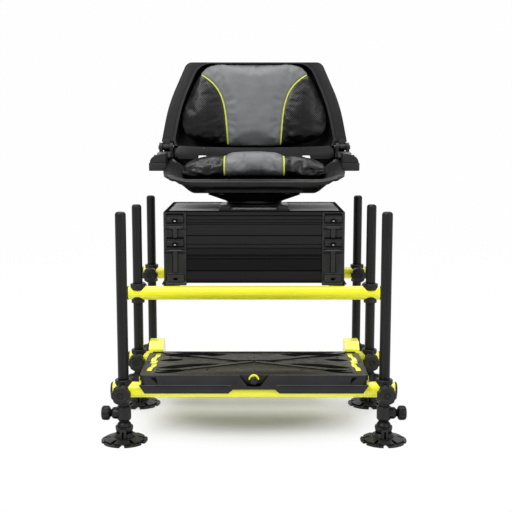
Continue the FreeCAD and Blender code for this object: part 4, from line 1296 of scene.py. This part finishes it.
@dataclass
class Trim:
    """What the groups of small swept pieces share.

    Attributes:
        palette: The finishes.
    """

    palette: Palette

    def add(
        self,
        name: str,
        body: str,
        outline: list[Vector],
        sweep: tuple[float, float, float],
        edge: float,
        finish: str,
        place: Matrix | None = None,
    ) -> None:
        """Sweep an outline and let the piece ride.

        Args:
            name: Name of the piece.
            body: Body that it rides on.
            outline: Corners in order.
            sweep: Way and length of the sweep.
            edge: Radius of the edges in metres.
            finish: Name of its finish.
            place: Matrix from the drawing to the frame, where they differ.
        """
        piece = outline_solid(name, outline, Vector(sweep), edge, self.palette[finish])
        if place is not None:
            piece.data.transform(place)
        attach(piece, body)
        LOG.info("trim %s on %s, %d faces", name, body, len(piece.data.polygons))


@dataclass
class SeatTrim(Trim):
    """Moulded parts of the seat that the plain solids leave out: ears, webs, cheeks and an apron.

    Attributes:
        web_x: Inner face of the hinge webs.
        apron_half: Half width of the shell's apron.
        hole_x: Middle of the hand holes in the apron.
    """

    web_x: float = 0.2292
    apron_half: float = 0.226
    hole_x: float = 0.146

    def build(self) -> None:
        """Make the pieces of both sides and the apron between them."""
        for side in Side:
            self.ear(side)
            self.hinge(side)
        self.add("shell_apron", "backrest", self.apron(), (0, 0.0052, 0), 0.0012, "shell_plastic", LEAN)

    def ear(self, side: Side) -> None:
        """Ear of the pan beside the sitter, in a lower block and a dome on it."""
        lower = ((237, 608.5), (280.5, 608.5), (282, 610), (282, 630), (237, 630))
        dome = (
            (237, 629), (280, 629), (279, 637), (275, 643.5),
            (269, 648), (260, 651.5), (250, 654), (237, 656),
        )
        for part, profile, start, length in (("lower", lower, 0.0985, 0.0755), ("dome", dome, 0.1005, 0.072)):
            outline = [Vector((side.value * x * MM, start, z * MM)) for x, z in profile]
            name = "pan_ear_%s_%s" % (part, side.name.lower())
            self.add(name, "seat", outline, (0, length, 0), 0.002, "shell_plastic")

    def hinge(self, side: Side) -> None:
        """Web from the ear to the hinge tower, and the shell's cheek in front of the tower."""
        k = side.value
        label = side.name.lower()
        web = ((150, 640), (256, 640), (256, 656), (231, 656.5), (172, 655), (150, 645))
        outline = [Vector((k * self.web_x, y * MM, z * MM)) for y, z in web]
        self.add("hinge_web_" + label, "seat", outline, (k * 0.0375, 0, 0), 0.0015, "shell_plastic")
        cheek = ((0.224, -0.024), (0.250, -0.024), (0.256, -0.018), (0.256, 0.020), (0.224, 0.020))
        outline = [Vector((k * x, 0.0145, s)) for x, s in cheek]
        self.add("shell_cheek_" + label, "backrest", outline, (0, 0.0025, 0), 0.0008, "shell_plastic", LEAN)

    def apron(self) -> list[Vector]:
        """Outline of the apron under the shell, with a hand hole on each side."""
        low, notch = -0.0345, -0.0235
        right = [
            (0.0, low), (self.hole_x - 0.013, low), (self.hole_x - 0.010, notch),
            (self.hole_x + 0.010, notch), (self.hole_x + 0.013, low),
            (self.apron_half - 0.014, low), (self.apron_half, low + 0.012),
            (self.apron_half, -0.012), (0.212, 0.004), (0.19, 0.0022), (0.1, -0.0005), (0.0, -0.0015),
        ]
        left = [(-x, s) for x, s in reversed(right[1:-1])]
        return [Vector((x, -0.0022, s)) for x, s in right + left]


@dataclass(frozen=True)
class CornerLine:
    """Line on a corner casting, in millimetres from the middle of its latch.

    Attributes:
        finish: Name of its finish.
        out: How far it stands out of the box front.
        near: Where it starts on both sides of the middle, or 0 for one line across it.
        far: Where it ends.
        low: Height of its lower end.
        high: Height of its upper end.
    """

    finish: str
    out: float
    near: float
    far: float
    low: float
    high: float

    def halves(self) -> tuple[int, ...]:
        """Sides of the middle that have a piece of their own."""
        return (-1, 1) if self.near else (1,)

    def corners(self, half: int) -> Marks:
        """Corners of one piece, as distance from the middle and height."""
        inner = half * self.near if self.near else -self.far
        outer = half * self.far
        return [(inner, self.low), (outer, self.low), (outer, self.high), (inner, self.high)]


@dataclass
class BoxTrim(Trim):
    """Small parts and lines on the box: latches' windows and catches, swivel plate, edging, and grooves and
    corner lines of painted shade and painted highlight.

    Attributes:
        front: Y of the box front in metres.
        latch_x: Middle of the latches.
        groove_half: Half length of the panels' grooves.
    """

    front: float = BOX_FRONT
    latch_x: float = 0.2055
    groove_half: float = 0.1765

    def build(self) -> None:
        """Make every group of pieces."""
        self.catches()
        self.swivel_plate()
        self.edging()
        self.grooves()
        self.corner_lines()

    def facing(
        self, name: str, body: str, marks: Marks, out: float, depth: float, edge: float, finish: str
    ) -> None:
        """Flat piece on the box front.

        Args:
            name: Name of the piece.
            body: Body that it rides on.
            marks: Corners as x and height in metres.
            out: How far it stands out of the front.
            depth: Its thickness, towards the rear.
            edge: Radius of the edges.
            finish: Name of its finish.
        """
        outline = [Vector((x, self.front - out, z)) for x, z in marks]
        self.add(name, body, outline, (0, depth, 0), edge, finish)

    def catches(self) -> None:
        """Window of painted shade and pale catch of every latch, the catch's pale colour partly a painted
        glint.
        """
        window = ((-5.6, 3.0), (5.6, 3.0), (5.6, 9.6), (3.8, 11.4), (-3.8, 11.4), (-5.6, 9.6))
        catch = ((-2.4, 3.8), (2.4, 3.8), (2.4, 6.4), (-2.4, 6.4))
        kinds = (("window", "well_black", 0.0068, window), ("catch", "bright_catch", 0.0074, catch))
        for body, low in (("tray", 0.4175), ("lid", 0.4795)):
            for side in Side:
                x = side.value * self.latch_x
                for kind, finish, out, shape in kinds:
                    name = "%s_%s_%s" % (kind, body, side.name.lower())
                    latch = "%s_latch_%s" % (body, side.name.lower())
                    marks = [(x + u * MM, low + v * MM) for u, v in shape]
                    self.facing(name, latch, marks, out, 0.003, 0.0003, finish)

    def swivel_plate(self) -> None:
        """Pale plate on the lid in front of the swivel."""
        corners = ((-0.061, 0.0175), (0.061, 0.0175), (0.061, 0.0605), (-0.061, 0.0605))
        outline = [Vector((x, self.front + y, 0.5132)) for x, y in corners]
        self.add("swivel_plate", "lid", outline, (0, 0, 0.0007), 0.0003, "pale_plate")

    def edging(self) -> None:
        """Black edging round the mat on the lid."""
        x1, y0, y1, width = 0.2318, 0.0008, 0.2732, 0.0032
        low, tall = 0.5068, 0.0042
        strips = {
            "front": (-x1, x1, y0, y0 + width),
            "rear": (-x1, x1, y1 - width, y1),
            "left": (-x1, -x1 + width, y0, y1),
            "right": (x1 - width, x1, y0, y1),
        }
        for name, (a, b, c, d) in strips.items():
            outline = [Vector(corner + (low,)) for corner in ((a, c), (b, c), (b, d), (a, d))]
            self.add("mat_edging_" + name, "lid", outline, (0, 0, tall), 0.0006, "well_black")

    def grooves(self) -> None:
        """Strips of painted shade in the grooves along the extruded front panels, as heights and widths."""
        rows = {
            "main_frame": ((0.3225, 0.0050), (0.3905, 0.0034), (0.4110, 0.0022), (0.3520, 0.0012)),
            "tray": ((0.4450, 0.0010), (0.4745, 0.0012)),
            "lid": ((0.4800, 0.0016), (0.4870, 0.0016), (0.4965, 0.0010)),
        }
        x = self.groove_half
        for body, lines in rows.items():
            for number, (low, tall) in enumerate(lines):
                marks = [(-x, low), (x, low), (x, low + tall), (-x, low + tall)]
                name = "groove_%s_%d" % (body, number)
                self.facing(name, body, marks, -0.0016, 0.0006, 0.0001, "well_black")

    def corner_lines(self) -> None:
        """Lines of painted shade in the joints, lines of painted highlight on the edges and raised black
        strips, which draw the T strips and latches of the corners.
        """
        sink = 0.3
        rows = {
            "main_frame": (
                CornerLine("well_black", 0.3, 6.0, 7.6, 351, 401),
                CornerLine("well_black", 0.3, 6.0, 27.0, 399.4, 401.8),
                CornerLine("well_black", 0.3, 0.0, 27.0, 409.6, 411.0),
                CornerLine("edge_sheen", 2.3, 0.0, 21.0, 406.2, 408.4),
                CornerLine("edge_sheen", 0.5, 0.0, 20.0, 345.6, 347.2),
                CornerLine("black_plastic", 2.25, 0.0, 5.2, 349, 400),
            ),
            "tray": (
                CornerLine("well_black", 0.3, 6.0, 7.6, 440, 463),
                CornerLine("well_black", 0.3, 6.0, 27.0, 462.0, 464.0),
                CornerLine("edge_sheen", 2.3, 0.0, 21.0, 468.2, 470.2),
                CornerLine("black_plastic", 2.25, 0.0, 5.2, 441, 463),
            ),
        }
        for body, lines in rows.items():
            for side in Side:
                x = side.value * self.latch_x
                for number, line in enumerate(lines):
                    for half in line.halves():
                        marks = [(x + u * MM, z * MM) for u, z in line.corners(half)]
                        name = "corner_line_%s_%s_%d_%d" % (body, side.name.lower(), number, half + 1)
                        depth = (line.out + sink) * MM
                        self.facing(name, body, marks, line.out * MM, depth, 0.0001, line.finish)


@dataclass
class DeckTrim(Trim):
    """Dark patches of painted shade over the deck's openings, lime strips in its side slots, and the painted
    shade and highlight lines of its lip.

    Attributes:
        row: Y of the front legs in metres.
        top: Height of the deck's top.
    """

    row: float = FRONT_LEGS
    top: float = DECK_TOP

    def build(self) -> None:
        """Make the pieces of both sides and the painted shade over the middle opening."""
        for side in Side:
            self.opening_shades(side)
            self.strips(side)
            self.lip_marks(side)
        self.well("middle", (-70, 110), (70, 110), 20)

    def lens(self, start: tuple[float, float], end: tuple[float, float], width: float) -> Marks:
        """Outline of a lens.

        Args:
            start: One point of the lens, in millimetres.
            end: Its other point.
            width: Its greatest width.

        Returns:
            Points of the outline in order.
        """
        steps = 12
        along = Vector((end[0] - start[0], end[1] - start[1]))
        across = Vector((-along.y, along.x)).normalized()
        marks = []
        for i in range(2 * steps):
            t = i / steps if i <= steps else 2 - i / steps
            bulge = (width / 2) * (1 - (2 * t - 1) ** 2) * (1 if i <= steps else -1)
            spot = Vector(start) + along * t + across * bulge
            marks.append((spot.x, spot.y))
        return marks

    def flat(self, name: str, marks: Marks, level: float, tall: float, edge: float, finish: str) -> None:
        """Level piece on the deck.

        Args:
            name: Name of the piece.
            marks: Corners in millimetres, from the middle and from the front legs.
            level: Height of the outline above the deck's top, in metres.
            tall: Its thickness, upwards from there.
            edge: Radius of the edges.
            finish: Name of its finish.
        """
        outline = [Vector((x * MM, self.row + y * MM, self.top + level)) for x, y in marks]
        self.add(name, "deck", outline, (0, 0, tall), edge, finish)

    def well(self, label: str, start: tuple[float, float], end: tuple[float, float], width: float) -> None:
        """Dark patch of painted shade over one lens opening."""
        self.flat("deck_well_" + label, self.lens(start, end, width), 0.0002, -0.0012, 0.0002, "well_black")

    def opening_shades(self, side: Side) -> None:
        """Patches of painted shade over the four lens openings of a side."""
        lenses = (
            ((226, 169), (64, 178), 42), ((232, 46), (64, 83), 42),
            ((230, 117), (172, 129), 25), ((232, 3), (160, 26), 27),
        )
        k = side.value
        for number, (start, end, width) in enumerate(lenses):
            label = "%s_%d" % (side.name.lower(), number)
            self.well(label, (k * start[0], start[1]), (k * end[0], end[1]), width)

    def strips(self, side: Side) -> None:
        """Lime strips in the two slots of a side, and the bridge between them."""
        k = side.value
        label = side.name.lower()
        for number, (y0, y1) in enumerate(((20, 96), (112, 194))):
            bend = (y0 + y1) / 2
            slot = (
                (251.6, y0 + 0.5), (239.4, y0 + 0.5), (239.4, bend - 8), (233.4, bend + 6),
                (233.4, y1 - 0.5), (245.6, y1 - 0.5), (245.6, bend + 6), (251.6, bend - 8),
            )
            marks = [(k * x, y) for x, y in slot]
            self.flat("deck_strip_%s_%d" % (label, number), marks, -0.011, 0.0104, 0.0005, "lime_paint")
        bridge = ((250, 90), (238, 90), (233.6, 106), (233.6, 116), (245.4, 116), (249, 106))
        marks = [(k * x, y) for x, y in bridge]
        self.flat("deck_bridge_" + label, marks, -0.0004, 0.0008, 0.0002, "lime_paint")

    def lip(self, height: float) -> float:
        """Y of the lip's upper slope at a height in millimetres, a hair in front of it."""
        return self.row - (22.4 + 8 * (163 - height) / 22) * MM

    def lip_marks(self, side: Side) -> None:
        """Painted shade on the lip's corner, and a painted highlight line and painted shade line along its
        crease.
        """
        k = side.value
        label = side.name.lower()
        sweep = (0, 0.0006, 0)
        shade = ((237.1, 158.6), (224.5, 158.6), (220.4, 144.5))
        outline = [Vector((k * x * MM, self.lip(z), z * MM)) for x, z in shade]
        self.add("deck_shade_" + label, "deck", outline, sweep, 0.0001, "well_black")
        creases = (("edge_sheen", 52, 261, 141.2, 142.6), ("well_black", 60, 228, 139.9, 141.2))
        for finish, near, far, low, high in creases:
            corners = ((k * near, low), (k * far, low), (k * far, high), (k * near, high))
            outline = [Vector((x * MM, self.row - 0.0303, z * MM)) for x, z in corners]
            self.add("deck_crease_%s_%s" % (finish, label), "deck", outline, sweep, 0.0001, finish)


@dataclass
class Fasteners:
    """Every screw and rivet, laid out by one Geometry Nodes group.

    Attributes:
        palette: The finishes.
        sides: Corners of a head.
        screw: Radius of a screw's head in metres.
        rivet: Radius of a rivet's head.
    """

    palette: Palette
    sides: int = 14
    screw: float = 0.003
    rivet: float = 0.0024

    def ring(self, body: bmesh.types.BMesh, radius: float, height: float) -> list[bmesh.types.BMVert]:
        """Ring of corners round the head, or one vertex at its middle."""
        count = self.sides if radius else 1
        turns = [math.tau * i / self.sides for i in range(count)]
        return [body.verts.new((radius * math.cos(a), radius * math.sin(a), height)) for a in turns]

    def shape(self) -> bpy.types.Object:
        """Pan head with a round socket, one unit in radius."""
        body = bmesh.new()
        profile = [(1.0, -0.3), (1.0, 0.22), (0.82, 0.42), (0.42, 0.52), (0.38, 0.2), (0.0, 0.2)]
        rings = [self.ring(body, radius, height) for radius, height in profile]
        for low, high in zip(rings, rings[1:]):
            for i in range(self.sides):
                j = (i + 1) % self.sides
                tips = (high[j], high[i]) if len(high) > 1 else (high[0],)
                body.faces.new((low[i], low[j], *tips))
        body.faces.new(list(reversed(rings[0])))
        bmesh.ops.recalc_face_normals(body, faces=body.faces)
        return new_piece("fastener", finished_mesh("fastener", body))

    def spots(self) -> dict[tuple[str, str], Spots]:
        """Place and facing of every head, by piece name and body."""
        rear, up = Vector((0, 1, 0)), Vector((0, 0, 1))
        forward = LEAN.to_3x3() @ Vector((0, -1, 0))
        rows: dict[tuple[str, str], Spots] = {}
        leaves = (("main_frame", 0.415, -1), ("tray", 0.415, 1), ("tray", 0.477, -1), ("lid", 0.477, 1))
        for body, line, way in leaves:
            key = ("hinge_screws_%s_%s" % (body, "below" if way < 0 else "above"), body)
            rows[key] = [
                (Vector((side.value * 0.120 + u, 0.278, line + way * 0.0155)), rear)
                for side in Side
                for u in (-0.026, 0.026)
            ]
        rows[("swivel_screws", "lid")] = [
            (Vector((side.value * 0.075, y, z)), up)
            for side in Side
            for y, z in ((0.027, 0.522), (0.215, 0.513))
        ]
        rows[("shell_rivets", "backrest")] = [
            (LEAN @ Vector((side.value * 0.141, -0.0022, -0.006)), forward) for side in Side
        ]
        rows[("deck_screws", "deck")] = [
            (Vector((side.value * x, FRONT_LEGS + y, DECK_TOP)), up)
            for side in Side
            for x, y in ((0.255, 0.104), (0.226, 0.030), (0.150, 0.150), (0.110, 0.030), (0.206, 0.148))
        ]
        return rows

    def build(self, group: FastenerField) -> None:
        """Lay the heads and let them ride.

        Args:
            group: Node group that puts a head on every point.
        """
        head = self.shape()
        for (name, body), spots in self.spots().items():
            mesh = bpy.data.meshes.new(name)
            mesh.from_pydata([tuple(place) for place, _ in spots], [], [])
            facing = mesh.attributes.new("facing", "FLOAT_VECTOR", "POINT")
            for i, (_, way) in enumerate(spots):
                facing.data[i].vector = way
            size = self.rivet if "rivet" in name else self.screw
            piece = group.apply(name, mesh, Fastener=head, Scale=size, Material=self.palette["screw_steel"])
            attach(piece, body)
            LOG.info("laid %s, %d heads", name, len(spots))
        bpy.data.objects.remove(head)


@dataclass
class CarriedNodes:
    """The CAD nodes that keep their shape and get a finish and softened edges.

    Attributes:
        palette: The finishes.
        slots: Finish of each of the record's material slots.
    """

    frame: dict
    palette: Palette
    slots: dict[str, str] = field(
        default_factory=lambda: {
            "lime_paint": "lime_paint",
            "black_aluminium": "leg_anodised",
            "black_extrusion": "panel_anodised",
            "corner_plastic": "corner_plastic",
            "black_plastic": "black_plastic",
            "shell_plastic": "shell_plastic",
            "leather_black": "two_tone_leather",
            "grey_mat": "grey_mat",
            "deck_casting": "deck_casting",
            "foot_rubber": "foot_rubber",
            "steel_pin": "steel_pin",
        }
    )

    def finish_of(self, node: str, slot: str) -> bpy.types.Material:
        """Finish of a node, by its record slot or its kind."""
        if node.startswith(("star_knob", "foot_knob")) or node == "deck_knob":
            return self.palette["knob_plastic"]
        return self.palette[self.slots[slot]]

    def dress(self, skipped: set[str]) -> None:
        """Give every node its finish, and a merged copy with rounded edges in its place.

        Args:
            skipped: Nodes that a piece of its own stands for.
        """
        slots = {row["node"]: row["material_slot"] for row in self.frame["record"]["subparts"]}
        for name, node in self.frame["nodes"].items():
            material = self.finish_of(name, slots[name])
            node.data.materials.clear()
            node.data.materials.append(material)
            if name in skipped:
                continue
            copy = self.rounded_copy(name, node, material)
            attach(copy, node["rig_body"])
            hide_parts(name)
            LOG.info("dressed %s, %d faces", name, len(copy.data.polygons))

    def rolled(self, point: Vector) -> Vector:
        """Place of a point of the pan once its front lip is rolled over and its rim swells.

        Args:
            point: Point of the plain pan.

        Returns:
            Its new place.
        """
        x, y, z = point
        lip_rear, lip_edge = 0.0148, 0.5885
        if y < lip_rear:
            middle = clamped((0.219 - abs(x)) / 0.045)
            if z > 0.588:
                return Vector((x, y, max(z - 0.0105 * middle, 0.5915 if y > 0.0132 else 0.0)))
            if y < 0.0045 and z < lip_edge:
                return Vector((x, y + 0.003, lip_edge - (lip_edge - z) * 0.66))
        wall, ear_y, ear_z, shrink = 0.2385, 0.137, 0.630, 0.93
        if abs(x) > wall and y < 0.180 and 0.608 < z < 0.652:
            out = math.copysign(wall + 0.85 * (abs(x) - wall), x)
            return Vector((out, ear_y + shrink * (y - ear_y), ear_z + shrink * (z - ear_z)))
        if abs(x) > 0.19 and y < 0.19:
            high = clamped((z - 0.575) / 0.035)
            along = clamped((y - 0.0045) / 0.03) * clamped((0.19 - y) / 0.05)
            return Vector((x + math.copysign(0.004 * high * along, x), y, z))
        return point

    def roll_rim(self, mesh: bpy.types.Mesh) -> None:
        """Cut the pan into strips across and roll its lip and rim."""
        body = bmesh.new()
        body.from_mesh(mesh)
        for step in range(-10, 11):
            parts = body.verts[:] + body.edges[:] + body.faces[:]
            place = (step * 0.02, 0, 0)
            bmesh.ops.bisect_plane(body, geom=parts, dist=1e-5, plane_co=place, plane_no=(1, 0, 0))
        for vert in body.verts:
            vert.co = self.rolled(vert.co)
        body.to_mesh(mesh)
        body.free()

    def ring(self, mesh: bpy.types.Mesh) -> None:
        """Give the collar behind the deck's knob its lime upper part."""
        knob_z, radius = 0.153, 0.0128
        mesh.materials.append(self.palette["lime_paint"])
        for face in mesh.polygons:
            x, y, z = face.center
            if y < -0.3373 and z > 0.1545 and math.hypot(x, z - knob_z) < radius:
                face.material_index = 1

    def hand_holes(self, copy: bpy.types.Object) -> None:
        """Cut the two hand holes through the pan's rear wall."""
        cutter = bmesh.new()
        size = Matrix.Diagonal((0.026, 0.05, 0.015, 1.0))
        for side in Side:
            place = Matrix.Translation((side.value * 0.1465, 0.268, 0.640)) @ size
            bmesh.ops.create_cube(cutter, size=1.0, matrix=place)
        tool = new_piece("hand_holes", finished_mesh("hand_holes", cutter))
        cut = copy.modifiers.new("holes", "BOOLEAN")
        cut.object = tool
        cut.operation = "DIFFERENCE"
        cut.solver = "EXACT"
        graph = bpy.context.evaluated_depsgraph_get()
        pierced = bpy.data.meshes.new_from_object(copy.evaluated_get(graph))
        copy.modifiers.clear()
        LOG.info("hand holes: %d faces from %d", len(pierced.polygons), len(copy.data.polygons))
        # A cut that fails loses most faces, and the pan then stays whole.
        if len(pierced.polygons) > 0.8 * len(copy.data.polygons):
            copy.data = pierced
        bpy.data.objects.remove(tool)

    def rounded_copy(
        self, name: str, node: bpy.types.Object, material: bpy.types.Material
    ) -> bpy.types.Object:
        """Merged copy of a node whose sharp edges are rounded and whose curves are smooth.

        Args:
            name: Name of the node.
            node: The node's object, which stays as it is.
            material: Its finish.

        Returns:
            The copy.
        """
        body = bmesh.new()
        body.from_mesh(node.data)
        bmesh.ops.remove_doubles(body, verts=body.verts, dist=2e-6)
        bmesh.ops.dissolve_limit(
            body,
            angle_limit=math.radians(0.6),
            verts=body.verts,
            edges=body.edges,
            use_dissolve_boundaries=False,
        )
        for edge in body.edges:
            edge.smooth = len(edge.link_faces) == 2 and edge.calc_face_angle(0.0) < math.radians(32)
        for face in body.faces:
            face.smooth = True
        copy = new_piece(name + ".finish", finished_mesh(name + ".finish", body), material)
        if name == "footplate_deck":
            self.ring(copy.data)
        if name == "seat_pan":
            self.hand_holes(copy)
            self.roll_rim(copy.data)
        bevel = copy.modifiers.new("edges", "BEVEL")
        bevel.width = 0.6 * MM
        bevel.segments = 2
        bevel.limit_method = "ANGLE"
        bevel.angle_limit = math.radians(34)
        bevel.harden_normals = True
        bevel.use_clamp_overlap = True
        bevel.miter_outer = "MITER_ARC"
        return copy


@dataclass
class Studio:
    """Floor, lights and the camera at the photograph's standpoint.

    Attributes:
        focal: Focal length in pixels of the square picture.
        pitch: Downward tilt in degrees.
        stand: Camera position in metres.
        width: Width of the picture in pixels.
        half: Half width of the floor in metres.
        bend: Radius of the sweep from the floor to the backdrop.
        depth: Y where the sweep starts.
    """

    focal: float = 968.0
    pitch: float = 7.96
    stand: tuple[float, float, float] = (0.0048, -2.501, 0.742)
    width: float = 512.0
    half: float = 9.0
    bend: float = 2.0
    depth: float = 3.0

    def build(self) -> None:
        """Set floor, lamps, world and camera."""
        scene = bpy.context.scene
        scene.view_settings.view_transform = "Standard"
        self.floor()
        self.world(scene)
        self.lamp("key", (-1.7, -2.4, 3.2), (0, 0, 0.45), 1.8, 84.0)
        self.lamp("fill", (2.6, -2.4, 1.8), (0, 0, 0.5), 2.0, 34.0)
        self.lamp("top", (0.0, 0.2, 3.4), (0, 0.1, 0.4), 2.4, 66.0)
        self.lamp("back", (0.0, 2.6, 2.4), (0, 0, 0.6), 2.4, 26.0)
        camera = bpy.data.cameras.new("camera")
        camera.sensor_width = 36.0
        camera.lens = self.focal / self.width * camera.sensor_width
        camera.clip_end = 60.0
        made = bpy.data.objects.new("camera", camera)
        made.location = self.stand
        made.rotation_euler = (math.radians(90 - self.pitch), 0, 0)
        scene.collection.objects.link(made)
        scene.camera = made

    def floor(self) -> None:
        """Floor that sweeps up into the backdrop."""
        body = bmesh.new()
        turns = [math.pi / 16 * i for i in range(1, 9)]
        profile = [(-7.0, 0.0), (self.depth, 0.0)]
        profile += [
            (self.depth + self.bend * math.sin(a), self.bend - self.bend * math.cos(a)) for a in turns
        ]
        profile.append((self.depth + self.bend, 8.0))
        near, far = ([body.verts.new((x, y, z)) for y, z in profile] for x in (-self.half, self.half))
        for i in range(len(profile) - 1):
            body.faces.new((near[i], far[i], far[i + 1], near[i + 1])).smooth = True
        new_piece("floor", finished_mesh("floor", body), StudioFloor().build())

    def world(self, scene: bpy.types.Scene) -> None:
        """White surroundings for the camera, softer light for everything else."""
        world = bpy.data.worlds.new("world")
        scene.world = world
        world.use_nodes = True
        tree = world.node_tree
        back = tree.nodes["Background"]
        back.inputs["Color"].default_value = (1, 1, 1, 1)
        path = tree.nodes.new("ShaderNodeLightPath")
        strength = tree.nodes.new("ShaderNodeMapRange")
        strength.inputs["To Min"].default_value = 0.3
        strength.inputs["To Max"].default_value = 1.0
        tree.links.new(path.outputs["Is Camera Ray"], strength.inputs["Value"])
        tree.links.new(strength.outputs["Result"], back.inputs["Strength"])

    def lamp(
        self,
        name: str,
        place: tuple[float, float, float],
        target: tuple[float, float, float],
        size: float,
        power: float,
    ) -> None:
        """Soft square lamp aimed at a point.

        Args:
            name: Name of the lamp.
            place: Where it hangs, in metres.
            target: Point that it is aimed at.
            size: Its width in metres.
            power: Its power in watts.
        """
        light = bpy.data.lights.new(name, "AREA")
        light.size = size
        light.energy = power
        made = bpy.data.objects.new(name, light)
        made.location = place
        made.rotation_euler = (Vector(target) - Vector(place)).to_track_quat("-Z", "Y").to_euler()
        bpy.context.scene.collection.objects.link(made)


def main() -> None:
    """Build the whole picture in order."""
    logging.basicConfig(level=logging.INFO, format="%(message)s")
    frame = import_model()
    palette = Palette()
    CarriedNodes(frame, palette).dress({"seat_cushion", "back_cushion"})
    cord, row = CordAlong(), StitchRow()
    cushions = (
        BackCushion("back_pad", "back_cushion", "backrest"),
        SeatBolster("seat_pad", "seat_cushion", "seat"),
    )
    for cushion in cushions:
        piece = cushion.build(palette["two_tone_leather"])
        Seams(cushion, piece, palette).build(cord, row)
    SeatTrim(palette).build()
    BoxTrim(palette).build()
    DeckTrim(palette).build()
    Fasteners(palette).build(FastenerField())
    Studio().build()


if __name__ == "__main__":
    main()
